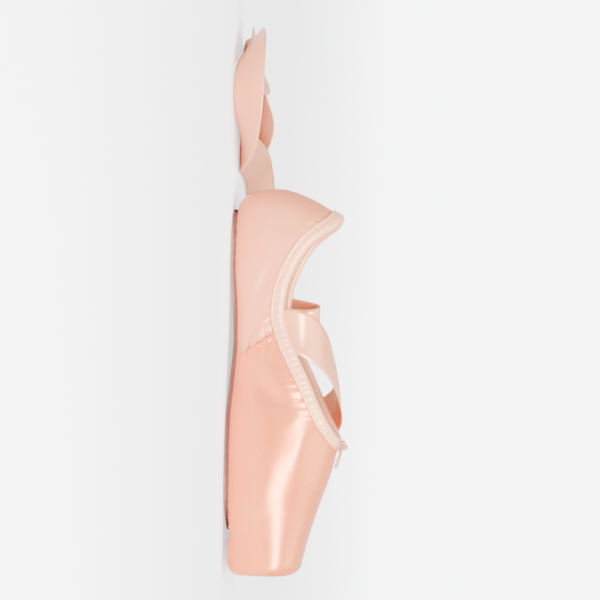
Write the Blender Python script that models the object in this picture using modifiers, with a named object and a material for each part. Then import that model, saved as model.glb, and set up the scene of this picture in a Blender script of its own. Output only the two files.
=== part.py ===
"""A satin pointe shoe, standing empty and unbent on its sole.

Metres, +Z up. +X points to the platform at the toe, and -Y is the side that faces the viewer.
The origin is on the floor, halfway between the back of the heel and the platform.
"""
import math

import bmesh
import bpy
import numpy as np
from mathutils import Matrix, Vector

# Sizes of the last
LENGTH = 0.225
HEEL_WIDTH = 0.055
WAIST_WIDTH = 0.0525
BALL_WIDTH = 0.076
INSTEP_HEIGHT = 0.0655
HEEL_HEIGHT = 0.0635
WAIST_HEIGHT = 0.0315
TOE_HEIGHT = 0.045
VAMP_LENGTH = 0.079
HEEL_ROUND = 0.034
HEEL_LEAN = 0.016
FEATHER_ROUND = 0.010
HEEL_TUCK = 1.25
HEEL_LEAN_POWER = 1.6

# The platform and its rounded edge
PLATFORM_WIDTH = 0.046
EDGE_DEPTH = 0.008
EDGE_SIDE = 0.006
EDGE_TOP = 0.0085
EDGE_BELOW = 0.006

# The upper's wall
QUARTER_WALL = 0.0015
BOX_WALL = 0.0024
BOX_START = 0.012
BOX_FULL = 0.040
SEAM_STEP = 0.0005
LASTING_MARGIN = 0.006
TOE_MARGIN = 0.009
OPENING_ROUND = 0.030

# The sole
SOLE_THICK = 0.003
SOLE_BALL = 0.052
SOLE_WAIST = 0.029
SOLE_HEEL = 0.035
SOLE_TIP_BACK = 0.0255
SOLE_TIP_ROUND = 0.030
SOLE_EDGE = 0.0007
ARCH_RISE = 0.0025
TOE_SPRING = 0.0014
PLEAT_DROP = 0.0014

# The insole
INSOLE_THICK = 0.0015
INSOLE_TOE_GAP = 0.010
INSOLE_TIP_ROUND = 0.020

# The binding round the collar
BINDING_DROP = 0.0064
BINDING_CLOTH = 0.0008
BINDING_GAP = 0.0004
BINDING_TOP = 0.0006

# The ribbons
RIBBON_WIDTH = 0.025
RIBBON_THICK = 0.0006
RIBBON_LENGTH = 0.48
RIBBON_STEP = 0.008

# The drawstring's bow
CORD_THICK = 0.0016
KNOT_LONG = 0.0040
KNOT_WIDE = 0.0052
KNOT_HIGH = 0.0040
KNOT_AHEAD = 0.0035
LOOP_LONG = 0.0095
LOOP_WIDE = 0.0052
END_LONG = 0.0120

# Meshes that touch keep this clearance
GAP = 0.0003

# Places along the shoe
X_HEEL = -LENGTH / 2
X_TOE = LENGTH / 2
X_FAN = X_HEEL + HEEL_ROUND
X_THROAT = X_TOE - VAMP_LENGTH
X_EDGE = X_TOE - EDGE_DEPTH
X_TIP = X_TOE - SOLE_TIP_BACK
X_OPENING_END = X_TIP - TOE_MARGIN


def heel(share):
    """A place in the rounded heel, from its back to its side."""
    return X_HEEL + share * (X_FAN - X_HEEL)


def quarter(share):
    """A place along the quarter, from the heel's side to the throat."""
    return X_FAN + share * (X_THROAT - X_FAN)


def vamp(share):
    """A place along the vamp, from the throat to the platform's edge."""
    return X_THROAT + share * (X_EDGE - X_THROAT)


# Half of the last's width where it is widest. Columns: place, half-width.
HALF_WIDTH = (
    (quarter(0.00), 0.500 * HEEL_WIDTH),
    (quarter(0.18), 0.488 * HEEL_WIDTH),
    (quarter(0.38), 0.500 * WAIST_WIDTH),
    (quarter(0.55), 0.545 * WAIST_WIDTH),
    (quarter(0.75), 0.432 * BALL_WIDTH),
    (quarter(0.90), 0.477 * BALL_WIDTH),
    (vamp(0.10), 0.500 * BALL_WIDTH),
    (vamp(0.32), 0.490 * BALL_WIDTH),
    (vamp(0.60), 0.446 * BALL_WIDTH),
    (vamp(0.85), 0.402 * BALL_WIDTH),
    (vamp(1.00), 0.500 * PLATFORM_WIDTH + EDGE_SIDE),
)

# Height of the widest level above the floor. Columns: place, height.
WIDEST = (
    (quarter(0.00), 0.42 * HEEL_HEIGHT),
    (quarter(0.30), 0.62 * WAIST_HEIGHT),
    (quarter(0.60), 0.62 * WAIST_HEIGHT),
    (vamp(0.00), 0.32 * INSTEP_HEIGHT),
    (vamp(0.60), 0.49 * TOE_HEIGHT),
    (vamp(1.00), 0.53 * TOE_HEIGHT),
)

# Height of the crown. Behind the throat it is where the walls would close over the foot.
# Columns: place, height.
CROWN = (
    (quarter(0.00), 1.22 * HEEL_HEIGHT),
    (quarter(0.35), 1.28 * INSTEP_HEIGHT),
    (quarter(0.68), 1.18 * INSTEP_HEIGHT),
    (quarter(0.87), 1.08 * INSTEP_HEIGHT),
    (vamp(0.00), 1.00 * INSTEP_HEIGHT),
    (vamp(0.27), 1.35 * TOE_HEIGHT),
    (vamp(0.55), 1.20 * TOE_HEIGHT),
    (vamp(0.82), 1.07 * TOE_HEIGHT),
    (vamp(1.00), 1.00 * TOE_HEIGHT),
)

# How square the section is above its widest level. Columns: place, exponent.
SQUARENESS = (
    (quarter(0.00), 2.0),
    (quarter(0.70), 2.0),
    (vamp(0.10), 2.1),
    (vamp(0.60), 2.3),
    (vamp(1.00), 2.6),
)
FEATHER_SQUARENESS = 2.3

# The collar's edge, seen from the side. Columns: place, height.
COLLAR = (
    (heel(0.00), 1.00 * HEEL_HEIGHT),
    (heel(0.32), 0.955 * HEEL_HEIGHT),
    (heel(0.66), 0.845 * HEEL_HEIGHT),
    (quarter(0.00), 0.705 * HEEL_HEIGHT),
    (quarter(0.11), 0.590 * HEEL_HEIGHT),
    (quarter(0.23), 1.040 * WAIST_HEIGHT),
    (quarter(0.34), 1.000 * WAIST_HEIGHT),
    (quarter(0.46), 1.110 * WAIST_HEIGHT),
    (quarter(0.57), 0.620 * INSTEP_HEIGHT),
    (quarter(0.68), 0.715 * INSTEP_HEIGHT),
    (quarter(0.80), 0.808 * INSTEP_HEIGHT),
    (quarter(0.90), 0.892 * INSTEP_HEIGHT),
    (quarter(1.00), 1.000 * INSTEP_HEIGHT),
    (vamp(0.15), 1.120 * INSTEP_HEIGHT),
    (vamp(0.50), 1.500 * INSTEP_HEIGHT),
)

# How far the sole's underside is off the floor. Columns: place, height.
SOLE_LIFT = (
    (heel(0.00), 0.0),
    (quarter(0.08), 0.0),
    (quarter(0.30), 0.60 * ARCH_RISE),
    (quarter(0.50), 1.00 * ARCH_RISE),
    (quarter(0.72), 0.45 * ARCH_RISE),
    (quarter(0.90), 0.0),
    (vamp(0.45), 0.0),
    (vamp(0.75), 0.55 * TOE_SPRING),
    (vamp(1.00), 1.00 * TOE_SPRING),
)

# The sole's half-width before its tip closes. Columns: place, half-width.
SOLE_HALF = (
    (quarter(0.00), 0.500 * SOLE_HEEL),
    (quarter(0.20), 0.470 * SOLE_HEEL),
    (quarter(0.40), 0.500 * SOLE_WAIST),
    (quarter(0.58), 0.590 * SOLE_WAIST),
    (quarter(0.78), 0.425 * SOLE_BALL),
    (vamp(0.05), 0.500 * SOLE_BALL),
    (vamp(0.30), 0.498 * SOLE_BALL),
    (vamp(0.55), 0.470 * SOLE_BALL),
    (vamp(0.80), 0.440 * SOLE_BALL),
)

# The side seam, from the feather line up to the collar
SEAM_AT_SOLE = quarter(0.585)
SEAM_AT_COLLAR = quarter(0.405)
SEAM_WIDTH = 0.0009

# Routes of the ribbons, chosen by hand. Columns: x, y, z, then the way that the face looks.
NEAR_ROUTE = (
    (-0.030, -0.0230, 0.013, 0, 1, 0),
    (-0.030, -0.0230, 0.021, 0, 1, 0),
    (-0.030, -0.0228, 0.029, 0, 1, 0),
    (-0.030, -0.0222, 0.037, 0, 1, -0.1),
    (-0.027, -0.0195, 0.046, 0.1, 0.8, -0.6),
    (-0.019, -0.0110, 0.055, 0.2, 0.4, -1),
    (-0.008, 0.0005, 0.0605, 0.1, 0, -1),
    (0.004, 0.0130, 0.0635, 0, -0.2, -1),
    (0.014, 0.0250, 0.0620, 0, -0.5, -1),
    (0.022, 0.0360, 0.0540, 0, -1, -0.8),
    (0.028, 0.0435, 0.040, 0, -1, -0.3),
    (0.032, 0.0490, 0.024, 0, -1, -0.3),
    (0.036, 0.0560, 0.011, 0, -0.8, -0.7),
    (0.042, 0.0680, 0, 0, -0.2, -1),
    (0.050, 0.0850, 0, 0, 0, -1),
    (0.049, 0.1060, 0, 0, 0, -1),
    (0.034, 0.1230, 0, 0, 0, -1),
    (0.010, 0.1280, 0, 0, 0, -1),
    (-0.016, 0.1240, 0, 0, 0, -1),
    (-0.042, 0.1230, 0, 0, 0, -1),
    (-0.067, 0.1310, 0, 0, 0, -1),
    (-0.092, 0.1380, 0, 0, 0, -1),
    (-0.117, 0.1350, 0, 0, 0, -1),
    (-0.140, 0.1260, 0, 0, 0, -1),
    (-0.164, 0.1260, 0, 0, 0, -1),
    (-0.188, 0.1340, 0, 0, 0, -1),
    (-0.212, 0.1400, 0, 0, 0, -1),
)
FAR_ROUTE = (
    (-0.030, 0.0230, 0.013, 0, -1, 0),
    (-0.030, 0.0230, 0.021, 0, -1, 0),
    (-0.030, 0.0228, 0.029, 0, -1, 0),
    (-0.030, 0.0220, 0.037, 0, -1, 0),
    (-0.030, 0.0224, 0.0435, 0, -1, 0.3),
    (-0.031, 0.0266, 0.0490, 0, -0.6, 1),
    (-0.033, 0.0342, 0.0482, 0, 0.5, 1),
    (-0.035, 0.0405, 0.0390, 0, 1, 0.5),
    (-0.037, 0.0455, 0.0280, 0, 1, 0.5),
    (-0.040, 0.0525, 0.0160, 0, 1, 0.8),
    (-0.045, 0.0610, 0.0060, 0, 0.6, 1),
    (-0.052, 0.0710, 0, 0, 0.1, 1),
    (-0.065, 0.0820, 0, 0, 0, 1),
    (-0.083, 0.0870, 0, 0, 0, 1),
    (-0.102, 0.0840, 0, 0, 0, 1),
    (-0.119, 0.0720, 0, 0, 0, 1),
    (-0.130, 0.0520, 0, 0, 0, 1),
    (-0.134, 0.0290, 0, 0, 0, 1),
    (-0.137, 0.0050, 0, 0, 0, 1),
    (-0.143, -0.0180, 0, 0, 0, 1),
    (-0.157, -0.0360, 0, 0, 0, 1),
    (-0.177, -0.0400, 0, 0, 0, 1),
    (-0.192, -0.0260, 0, 0, 0, 1),
    (-0.196, -0.0030, 0, 0, 0, 1),
    (-0.189, 0.0190, 0, 0, 0, 1),
    (-0.181, 0.0390, 0, 0, 0, 1),
    (-0.181, 0.0610, 0, 0, 0, 1),
    (-0.190, 0.0810, 0, 0, 0, 1),
    (-0.204, 0.0980, 0, 0, 0, 1),
)
SEWN_ROWS = 6
RIBBON_FREE = 0.040
RIBBON_STAND = 0.034
RIBBON_LAID = 0.007
BEND_BLUR = 3

# The bow's own shape
LOOP_POINTS = 13
LOOP_START = 0.0026
LOOP_MOUTH = 0.70
LOOP_DROOP = 0.10
LOOP_BACK = 0.0010
END_POINTS = 6
END_SPREAD = 0.55
END_START = 0.0024
END_APART = 0.0012
END_CURL = 0.0012
BOW_LIFT = 0.0002

# Ribs of the upper: how many lie in each stretch
HEEL_RIBS = 7
QUARTER_RIBS = 5
THROAT_RIBS = 7
VAMP_RIBS = 8
EDGE_RIBS = 4
FLOOR_COUNT = 2
FEATHER_COUNT = 4
WALL_COUNT = 9
SIDE_LEVEL = -0.25
FINE = 361
THROAT_EXTRA = (0.0005, 0.0016)
BINDING_STEPS = 28
COLLAR_SAMPLES = 300
TOUCH_STEPS = 6
PLATE_STEPS = 16
TIP_STEPS = 6


def smooth(table, place):
    """Reads a table by a curve that bends no more than its rows do."""
    x = np.array([row[0] for row in table])
    y = np.array([row[1] for row in table])
    slopes = np.diff(y) / np.diff(x)
    tangent = np.zeros(len(x))
    rising = slopes[:-1] * slopes[1:] > 0
    tangent[1:-1][rising] = 2 / (1 / slopes[:-1][rising] + 1 / slopes[1:][rising])
    tangent[0] = slopes[0]
    tangent[-1] = slopes[-1]
    at = np.clip(place, x[0], x[-1])
    i = np.clip(np.searchsorted(x, at, side="right") - 1, 0, len(x) - 2)
    span = x[i + 1] - x[i]
    t = (at - x[i]) / span
    return (
        (2 * t**3 - 3 * t**2 + 1) * y[i]
        + (t**3 - 2 * t**2 + t) * span * tangent[i]
        + (3 * t**2 - 2 * t**3) * y[i + 1]
        + (t**3 - t**2) * span * tangent[i + 1]
    )


def ease(low, high, value):
    """Goes softly from 0 at low to 1 at high."""
    t = np.clip((value - low) / (high - low), 0, 1)
    return t * t * (3 - 2 * t)


def closing(place, start, end):
    """1 before start, then round to 0 at end."""
    t = np.clip((place - start) / (end - start), 0, 1)
    return np.sqrt(1 - t * t)


def rounding(place):
    """How far the platform's rounded edge has turned at a place: 0 to 1."""
    t = np.clip((place - X_EDGE) / EDGE_DEPTH, 0, 1)
    return 1 - np.sqrt(1 - t * t)


def seat(place):
    """Height of the satin that lies on the sole."""
    return SOLE_THICK + GAP + smooth(SOLE_LIFT, place)


def underside(place):
    """Height of the satin under the shoe, with the pleats that stand lower before the sole's tip."""
    pleats = PLEAT_DROP * ease(X_TIP + TOE_MARGIN / 8, X_TIP + TOE_MARGIN, place)
    return seat(place) - pleats + EDGE_BELOW * rounding(place)


def half_width(place):
    return smooth(HALF_WIDTH, place) - EDGE_SIDE * rounding(place)


def crown(place):
    return smooth(CROWN, place) - EDGE_TOP * rounding(place)


def section(place, level):
    """A point of the last's right half: how wide and how high it is at a place.

    The level goes from -2 at the middle of the underside to -1 at the feather line,
    0 at the widest height and 1 at the crown.
    """
    half = half_width(place)
    widest = smooth(WIDEST, place)
    bottom = underside(place)
    flat = half - FEATHER_ROUND
    square = smooth(SQUARENESS, place)
    angle = np.clip(level, -1, 1) * math.pi / 2
    cosine = np.clip(np.cos(angle), 0, 1)
    sine = np.abs(np.sin(angle))
    low_y = flat + FEATHER_ROUND * cosine ** (2 / FEATHER_SQUARENESS)
    low_z = widest - (widest - bottom) * sine ** (2 / FEATHER_SQUARENESS)
    high_y = half * cosine ** (2 / square)
    high_z = widest + (crown(place) - widest) * sine ** (2 / square)
    y = np.where(level < 0, low_y, high_y)
    z = np.where(level < 0, low_z, high_z)
    return np.where(level < -1, flat * (level + 2), y), z


def fan(turn, y, z):
    """Turns the section at the heel's side round to the back, by an angle from the back."""
    widest = smooth(WIDEST, X_FAN)
    tuck = HEEL_TUCK * (half_width(X_FAN) - y)
    rise = np.clip((z - widest) / (HEEL_HEIGHT - widest), 0, None)
    back = X_HEEL + np.where(z < widest, tuck, HEEL_LEAN * rise**HEEL_LEAN_POWER)
    return X_FAN - (X_FAN - back) * math.cos(turn), y * math.sin(turn), z


class Rib:
    """One line of the upper, from the middle of the underside up to the crown."""

    def __init__(self, foot, top, turn=math.pi / 2, proud=0.0):
        self.foot = foot
        self.top = top
        self.turn = turn
        level = np.linspace(-2, 1, FINE)
        y, z = section(foot, level)
        rim = smooth(COLLAR, top)
        climb = (z - underside(foot)) / (rim - underside(foot))
        place = foot + (top - foot) * np.clip(climb, 0, None)
        y, z = section(place, level)
        y = y + (proud - SEAM_STEP) * ease(-0.7, -0.2, level) * np.cos(level * math.pi / 2).clip(0)
        if turn < math.pi / 2:
            nominal = X_FAN - (X_FAN - X_HEEL) * math.cos(turn)
            y, z = section(X_FAN, level)
            place, y, z = fan(turn, y, z)
            self.above = z - smooth(COLLAR, nominal)
        else:
            self.above = z - smooth(COLLAR, place)
        self.level = level
        self.points = np.stack([place, y, z], axis=1)
        steps = np.linalg.norm(np.diff(self.points, axis=0), axis=1)
        self.run = np.concatenate([[0], np.cumsum(steps)])

    def rise(self):
        """How far along the rib it passes the collar's edge, or its whole length on the vamp."""
        past = np.nonzero((self.above > 0) & (self.level > -1))[0]
        if len(past) == 0:
            return self.run[-1]
        i = past[0]
        share = -self.above[i - 1] / (self.above[i] - self.above[i - 1])
        return self.run[i - 1] + share * (self.run[i] - self.run[i - 1])

    def between(self, start, end, rows):
        """Evenly spaced points between two lengths along the rib."""
        wanted = np.linspace(start, end, rows + 1)
        return np.stack([np.interp(wanted, self.run, self.points[:, axis]) for axis in range(3)], axis=1)

    def rows(self):
        """The rows of the whole upper on this rib, up to the collar or the crown."""
        inner = opening_half(self.foot) / (half_width(self.foot) - FEATHER_ROUND) - 2
        start, flat, side = np.interp([inner, -1, SIDE_LEVEL], self.level, self.run)
        return np.concatenate([
            self.between(start, flat, FLOOR_COUNT)[:-1],
            self.between(flat, side, FEATHER_COUNT)[:-1],
            self.between(side, self.rise(), WALL_COUNT),
        ])


def opening_half(place):
    """Half of the opening under the upper, which the sole closes."""
    half = smooth(SOLE_HALF, place) - LASTING_MARGIN
    return half * closing(place, X_OPENING_END - OPENING_ROUND, X_OPENING_END)


def upper_ribs():
    """Every rib of the upper, from the back of the heel to the platform."""
    ribs = []
    for i in range(HEEL_RIBS):
        turn = i / HEEL_RIBS * math.pi / 2
        ribs.append(Rib(X_FAN, X_FAN, turn, SEAM_STEP))
    for i in range(QUARTER_RIBS + 1):
        share = i / QUARTER_RIBS
        foot = X_FAN + (SEAM_AT_SOLE - X_FAN) * share
        top = X_FAN + (SEAM_AT_COLLAR - X_FAN) * share
        ribs.append(Rib(foot, top, proud=SEAM_STEP * (1 - share)))
    foot_end = vamp(0.07)
    for i in range(THROAT_RIBS + 1):
        share = i / THROAT_RIBS
        foot = SEAM_AT_SOLE + SEAM_WIDTH + (foot_end - SEAM_AT_SOLE - SEAM_WIDTH) * share
        bend = 1 - (1 - share) ** 1.6
        top = SEAM_AT_COLLAR + SEAM_WIDTH + (X_THROAT - SEAM_AT_COLLAR - SEAM_WIDTH) * bend
        ribs.append(Rib(foot, top, proud=SEAM_STEP))
    for i in range(1, VAMP_RIBS + 1):
        share = i / VAMP_RIBS
        foot = foot_end + (X_EDGE - foot_end) * share
        top = X_THROAT + (X_EDGE - X_THROAT) * share
        ribs.append(Rib(foot, top, proud=SEAM_STEP))
    for i in range(1, EDGE_RIBS + 1):
        place = X_EDGE + EDGE_DEPTH * math.sin(i / EDGE_RIBS * math.pi / 2)
        ribs.append(Rib(place, place, proud=SEAM_STEP))
    feet = [rib.foot for rib in ribs]
    tops = [rib.top for rib in ribs]
    for back in THROAT_EXTRA:
        top = X_THROAT - back
        ribs.append(Rib(float(np.interp(top, tops, feet)), top, proud=SEAM_STEP))
    return sorted(ribs, key=lambda rib: (rib.top, rib.turn))


def last_top(place, y):
    """Height of the vamp above the floor at a place and a distance from the middle."""
    widest = smooth(WIDEST, place)
    square = smooth(SQUARENESS, place)
    share = min(abs(y) / half_width(place), 1)
    return widest + (crown(place) - widest) * (1 - share**square) ** (1 / square)


def wall_at(place, height):
    """Half-width of the quarter's outer face at a place and height."""
    widest = smooth(WIDEST, place)
    square = smooth(SQUARENESS, place)
    share = max(height - widest, 0) / (crown(place) - widest)
    return half_width(place) * (1 - share**square) ** (1 / square)


def link(part, collection):
    collection.objects.link(part)
    return part


def paint(name, colour, roughness):
    """A plain Principled material."""
    material = bpy.data.materials.new(name)
    material.use_nodes = True
    shader = material.node_tree.nodes["Principled BSDF"]
    shader.inputs["Base Color"].default_value = (*colour, 1)
    shader.inputs["Roughness"].default_value = roughness
    shader.inputs["Metallic"].default_value = 0
    return material


def grid_mesh(name, rows, outward):
    """A sheet of quads through equal rows of points, whose faces look along outward if it is given."""
    mesh = bmesh.new()
    verts = [[mesh.verts.new(point) for point in row] for row in rows]
    for row, following in zip(verts, verts[1:]):
        for i in range(len(row) - 1):
            mesh.faces.new([row[i], following[i], following[i + 1], row[i + 1]])
    bmesh.ops.remove_doubles(mesh, verts=mesh.verts, dist=1e-6)
    mesh.normal_update()
    if outward is not None:
        total = sum((face.normal * face.calc_area() for face in mesh.faces), Vector())
        if total.dot(outward) < 0:
            bmesh.ops.reverse_faces(mesh, faces=mesh.faces)
    data = bpy.data.meshes.new(name)
    mesh.to_mesh(data)
    mesh.free()
    return data


def add_mirror(part):
    mirror = part.modifiers.new("Mirror", "MIRROR")
    mirror.use_axis = (False, True, False)
    mirror.merge_threshold = 0.00001


def add_wall(part, inward, outward):
    """Solidify that reaches so far inward and outward of the sheet."""
    solidify = part.modifiers.new("Wall", "SOLIDIFY")
    solidify.thickness = inward + outward
    solidify.offset = 2 * outward / (inward + outward) - 1
    solidify.use_even_offset = True
    return solidify


def smooth_shading(part, angle=50):
    part.data.shade_smooth()
    part.data.set_sharp_from_angle(angle=math.radians(angle))


def build_upper(collection, material):
    """The satin upper: one hollow wall, thicker towards the box, with a step at each side seam."""
    ribs = upper_ribs()
    rows = [rib.rows() for rib in ribs]
    platform = rows[-1].copy()
    platform[:, 1] = 0
    part = bpy.data.objects.new("upper", grid_mesh("upper", rows + [platform], (0, 1, 0)))
    part.data.materials.append(material)
    group = part.vertex_groups.new(name="wall")
    for vertex in part.data.vertices:
        stiff = ease(X_THROAT + BOX_START, X_THROAT + BOX_FULL, vertex.co.x)
        wall = QUARTER_WALL + (BOX_WALL - QUARTER_WALL) * stiff
        group.add([vertex.index], wall / BOX_WALL, "REPLACE")
    add_mirror(part)
    solidify = add_wall(part, BOX_WALL, 0)
    solidify.vertex_group = group.name
    smooth_shading(part)
    return link(part, collection)


def build_plate(name, collection, material, half, back, tip, tip_round, height, thick):
    """A plate that follows the sole: its underside is a sheet, and Solidify gives it its thickness."""
    rows = []
    for i in range(HEEL_RIBS):
        turn = i / HEEL_RIBS * math.pi / 2
        x = X_FAN - (X_FAN - back) * math.cos(turn)
        rows.append([(x, 0, height(x)), (x, half(X_FAN) * math.sin(turn), height(x))])
    round_start = tip - tip_round
    for i in range(PLATE_STEPS + 1):
        x = X_FAN + (round_start - X_FAN) * i / PLATE_STEPS
        rows.append([(x, 0, height(x)), (x, half(x), height(x))])
    for i in range(1, TIP_STEPS + 1):
        turn = i / TIP_STEPS * math.pi / 2
        x = round_start + tip_round * math.sin(turn)
        rows.append([(x, 0, height(x)), (x, half(x) * math.cos(turn), height(x))])
    part = bpy.data.objects.new(name, grid_mesh(name, rows, (0, 0, -1)))
    part.data.materials.append(material)
    add_mirror(part)
    add_wall(part, thick, 0)
    return link(part, collection)


def build_outsole(collection, material):
    """The leather outsole, set in from the satin's edge all round."""
    back = X_HEEL + HEEL_TUCK * (half_width(X_FAN) - smooth(SOLE_HALF, X_FAN))
    part = build_plate(
        "outsole", collection, material,
        lambda x: smooth(SOLE_HALF, x), back, X_TIP, SOLE_TIP_ROUND,
        lambda x: smooth(SOLE_LIFT, x), SOLE_THICK,
    )
    bevel = part.modifiers.new("Edge", "BEVEL")
    bevel.width = SOLE_EDGE
    bevel.segments = 1
    bevel.limit_method = "ANGLE"
    bevel.angle_limit = math.radians(50)
    smooth_shading(part)
    return part


def build_insole(collection, material):
    """The liner inside, on the upper's turned-in margin."""
    back = X_HEEL + HEEL_TUCK * FEATHER_ROUND

    def height(x):
        stiff = ease(X_THROAT - BOX_START, X_THROAT + BOX_START, x)
        wall = QUARTER_WALL + (BOX_WALL - QUARTER_WALL) * stiff
        return seat(x) + wall + GAP

    return build_plate(
        "insole", collection, material,
        lambda x: half_width(x) - FEATHER_ROUND, back, X_TOE - INSOLE_TOE_GAP, INSOLE_TIP_ROUND,
        height, INSOLE_THICK,
    )


def outside(point):
    """How far a point above the widest level is outside the last: 0 on its surface, 1 far out."""
    x, y, z = point
    place = max(x, X_FAN)
    widest = smooth(WIDEST, place)
    square = smooth(SQUARENESS, place)
    high = max(z - widest, 0) / (crown(place) - widest)
    if x >= X_FAN:
        return (abs(y) / half_width(place)) ** square + high**square - 1
    half = half_width(X_FAN) * (1 - high**square) ** (1 / square)
    climb = max(z - widest, 0) / (HEEL_HEIGHT - widest)
    back = X_HEEL + HEEL_LEAN * climb**HEEL_LEAN_POWER
    return ((X_FAN - x) / (X_FAN - back)) ** 2 + (y / half) ** 2 - 1


def slope(point):
    """Which way the last's surface looks at a point, and how fast outside() grows there."""
    step = GAP / 3
    steps = np.eye(3) * step
    return np.array([(outside(point + d) - outside(point - d)) / (2 * step) for d in steps])


def touch(point):
    """The nearest place on the last's surface, and the way that it looks."""
    for _ in range(TOUCH_STEPS):
        rise = slope(point)
        point = point - outside(point) * rise / rise.dot(rise)
    rise = slope(point)
    return point, rise / np.linalg.norm(rise)


def collar_line(steps):
    """Even steps along one side of the collar's edge, from the throat to the back of the heel."""
    line = []
    for share in np.linspace(0, 1, COLLAR_SAMPLES):
        place = X_THROAT + (X_FAN - X_THROAT) * share**2
        height = min(float(smooth(COLLAR, place)), float(crown(place)))
        line.append((place, wall_at(place, height), height))
    for turn in np.linspace(math.pi / 2, 0, COLLAR_SAMPLES)[1:]:
        height = smooth(COLLAR, X_FAN - (X_FAN - X_HEEL) * math.cos(turn))
        line.append(fan(turn, wall_at(X_FAN, height), height))
    line = np.array(line, dtype=float)
    run = np.concatenate([[0], np.cumsum(np.linalg.norm(np.diff(line, axis=0), axis=1))])
    wanted = np.linspace(0, run[-1], steps + 1)
    return np.stack([np.interp(wanted, run, line[:, axis]) for axis in range(3)], axis=1)


def build_binding(collection, material):
    """The folded tape round the collar: down its outside, over its edge and down its inside."""
    line = collar_line(BINDING_STEPS)
    along = np.gradient(line, axis=0)
    along[0] = (0, 1, 0)
    along[-1] = (0, -1, 0)
    clear, cloth = BINDING_GAP, BINDING_CLOTH
    deep = SEAM_STEP + QUARTER_WALL + BINDING_GAP
    rows = []
    for point, way in zip(line, along):
        _, face = touch(point)
        up = np.cross(face, way / np.linalg.norm(way))
        up /= np.linalg.norm(up)
        middle, middle_face = touch(point - up * BINDING_DROP / 2)
        foot, foot_face = touch(point - up * BINDING_DROP)
        top = point + up * BINDING_TOP
        rows.append([
            foot + foot_face * clear,
            foot + foot_face * (clear + cloth),
            middle + middle_face * (clear + cloth),
            point + face * (clear + cloth),
            top + face * clear + up * cloth,
            top - face * deep + up * cloth,
            point - face * (deep + cloth),
            middle - middle_face * (deep + cloth),
            foot - foot_face * (deep + cloth),
            foot - foot_face * deep,
            middle - middle_face * deep,
            top - face * deep,
            top + face * clear,
            middle + middle_face * clear,
            foot + foot_face * clear,
        ])
    part = bpy.data.objects.new("binding", grid_mesh("binding", rows, None))
    part.data.materials.append(material)
    add_mirror(part)
    smooth_shading(part)
    return link(part, collection)


def spline(rows, step):
    """Points every step along the smooth curve through the rows of a route."""
    knots = np.array(rows, dtype=float)
    ends = np.vstack([2 * knots[0] - knots[1], knots, 2 * knots[-1] - knots[-2]])
    fine = []
    for a, b, c, d in zip(ends, ends[1:], ends[2:], ends[3:]):
        for t in np.linspace(0, 1, 20, endpoint=False):
            fine.append(
                0.5 * (2 * b + (c - a) * t + (2 * a - 5 * b + 4 * c - d) * t**2
                       + (3 * b - a - 3 * c + d) * t**3)
            )
    fine = np.array(fine + [knots[-1]])
    run = np.concatenate([[0], np.cumsum(np.linalg.norm(np.diff(fine[:, :3], axis=0), axis=1))])
    wanted = np.linspace(0, min(run[-1], RIBBON_LENGTH), int(round(RIBBON_LENGTH / step)) + 1)
    return np.stack([np.interp(wanted, run, fine[:, axis]) for axis in range(fine.shape[1])], axis=1)


def build_ribbon(name, collection, material, route, side):
    """A flat satin ribbon. Its first rows follow the quarter's inner face, where it is sewn on.

    Where it bends on the floor it leans into the bend, as cloth that can't stretch does.
    """
    line = spline(route, RIBBON_STEP)
    centre = line[:, :3]
    along = np.gradient(centre, axis=0)
    step = np.linalg.norm(along, axis=1)[:, None]
    along /= step
    bend = np.gradient(along, axis=0) / step
    bend[:, 2] = 0
    padded = np.pad(bend, ((BEND_BLUR, BEND_BLUR), (0, 0)), mode="edge")
    bend = np.mean([padded[i : i + len(bend)] for i in range(2 * BEND_BLUR + 1)], axis=0)
    laid = ease(RIBBON_LAID, 0, centre[:, 2])[:, None]
    face = line[:, 3:] / np.linalg.norm(line[:, 3:], axis=1)[:, None]
    face = face + bend * RIBBON_STAND * laid * np.sign(face[:, 2:])
    across = np.cross(along, face)
    across /= np.linalg.norm(across, axis=1)[:, None]
    lowest = RIBBON_WIDTH / 2 * np.abs(across[:, 2]) + RIBBON_THICK / 2 + GAP
    centre[:, 2] = np.maximum(centre[:, 2], lowest)
    inset = SEAM_STEP + QUARTER_WALL + BINDING_GAP + BINDING_CLOTH + GAP + RIBBON_THICK
    rows = []
    for i, (point, width) in enumerate(zip(centre, across)):
        row = [point + width * RIBBON_WIDTH * share for share in (-0.5, 0.0, 0.5)]
        if i < SEWN_ROWS and point[2] < RIBBON_FREE:
            row = [(x, side * (wall_at(x, z) - inset), z) for x, y, z in row]
        rows.append(row)
    part = bpy.data.objects.new(name, grid_mesh(name, rows, (0, 0, 1)))
    part.data.materials.append(material)
    add_wall(part, RIBBON_THICK / 2, RIBBON_THICK / 2)
    smooth_shading(part)
    return link(part, collection)


def tube(name, points, collection, material):
    """A cord through points, as one closed mesh."""
    curve = bpy.data.curves.new(name, "CURVE")
    curve.dimensions = "3D"
    curve.bevel_depth = CORD_THICK / 2
    curve.bevel_resolution = 2
    curve.use_fill_caps = True
    line = curve.splines.new("POLY")
    line.points.add(len(points) - 1)
    for knot, point in zip(line.points, points):
        knot.co = (*point, 1)
    curve.materials.append(material)
    return link(bpy.data.objects.new(name, curve), collection)


def on_vamp(place, y):
    """A point of a cord that lies on the binding at the throat."""
    return place, y, last_top(place, y) + BINDING_GAP + BINDING_CLOTH + GAP + CORD_THICK / 2 + BOW_LIFT


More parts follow.
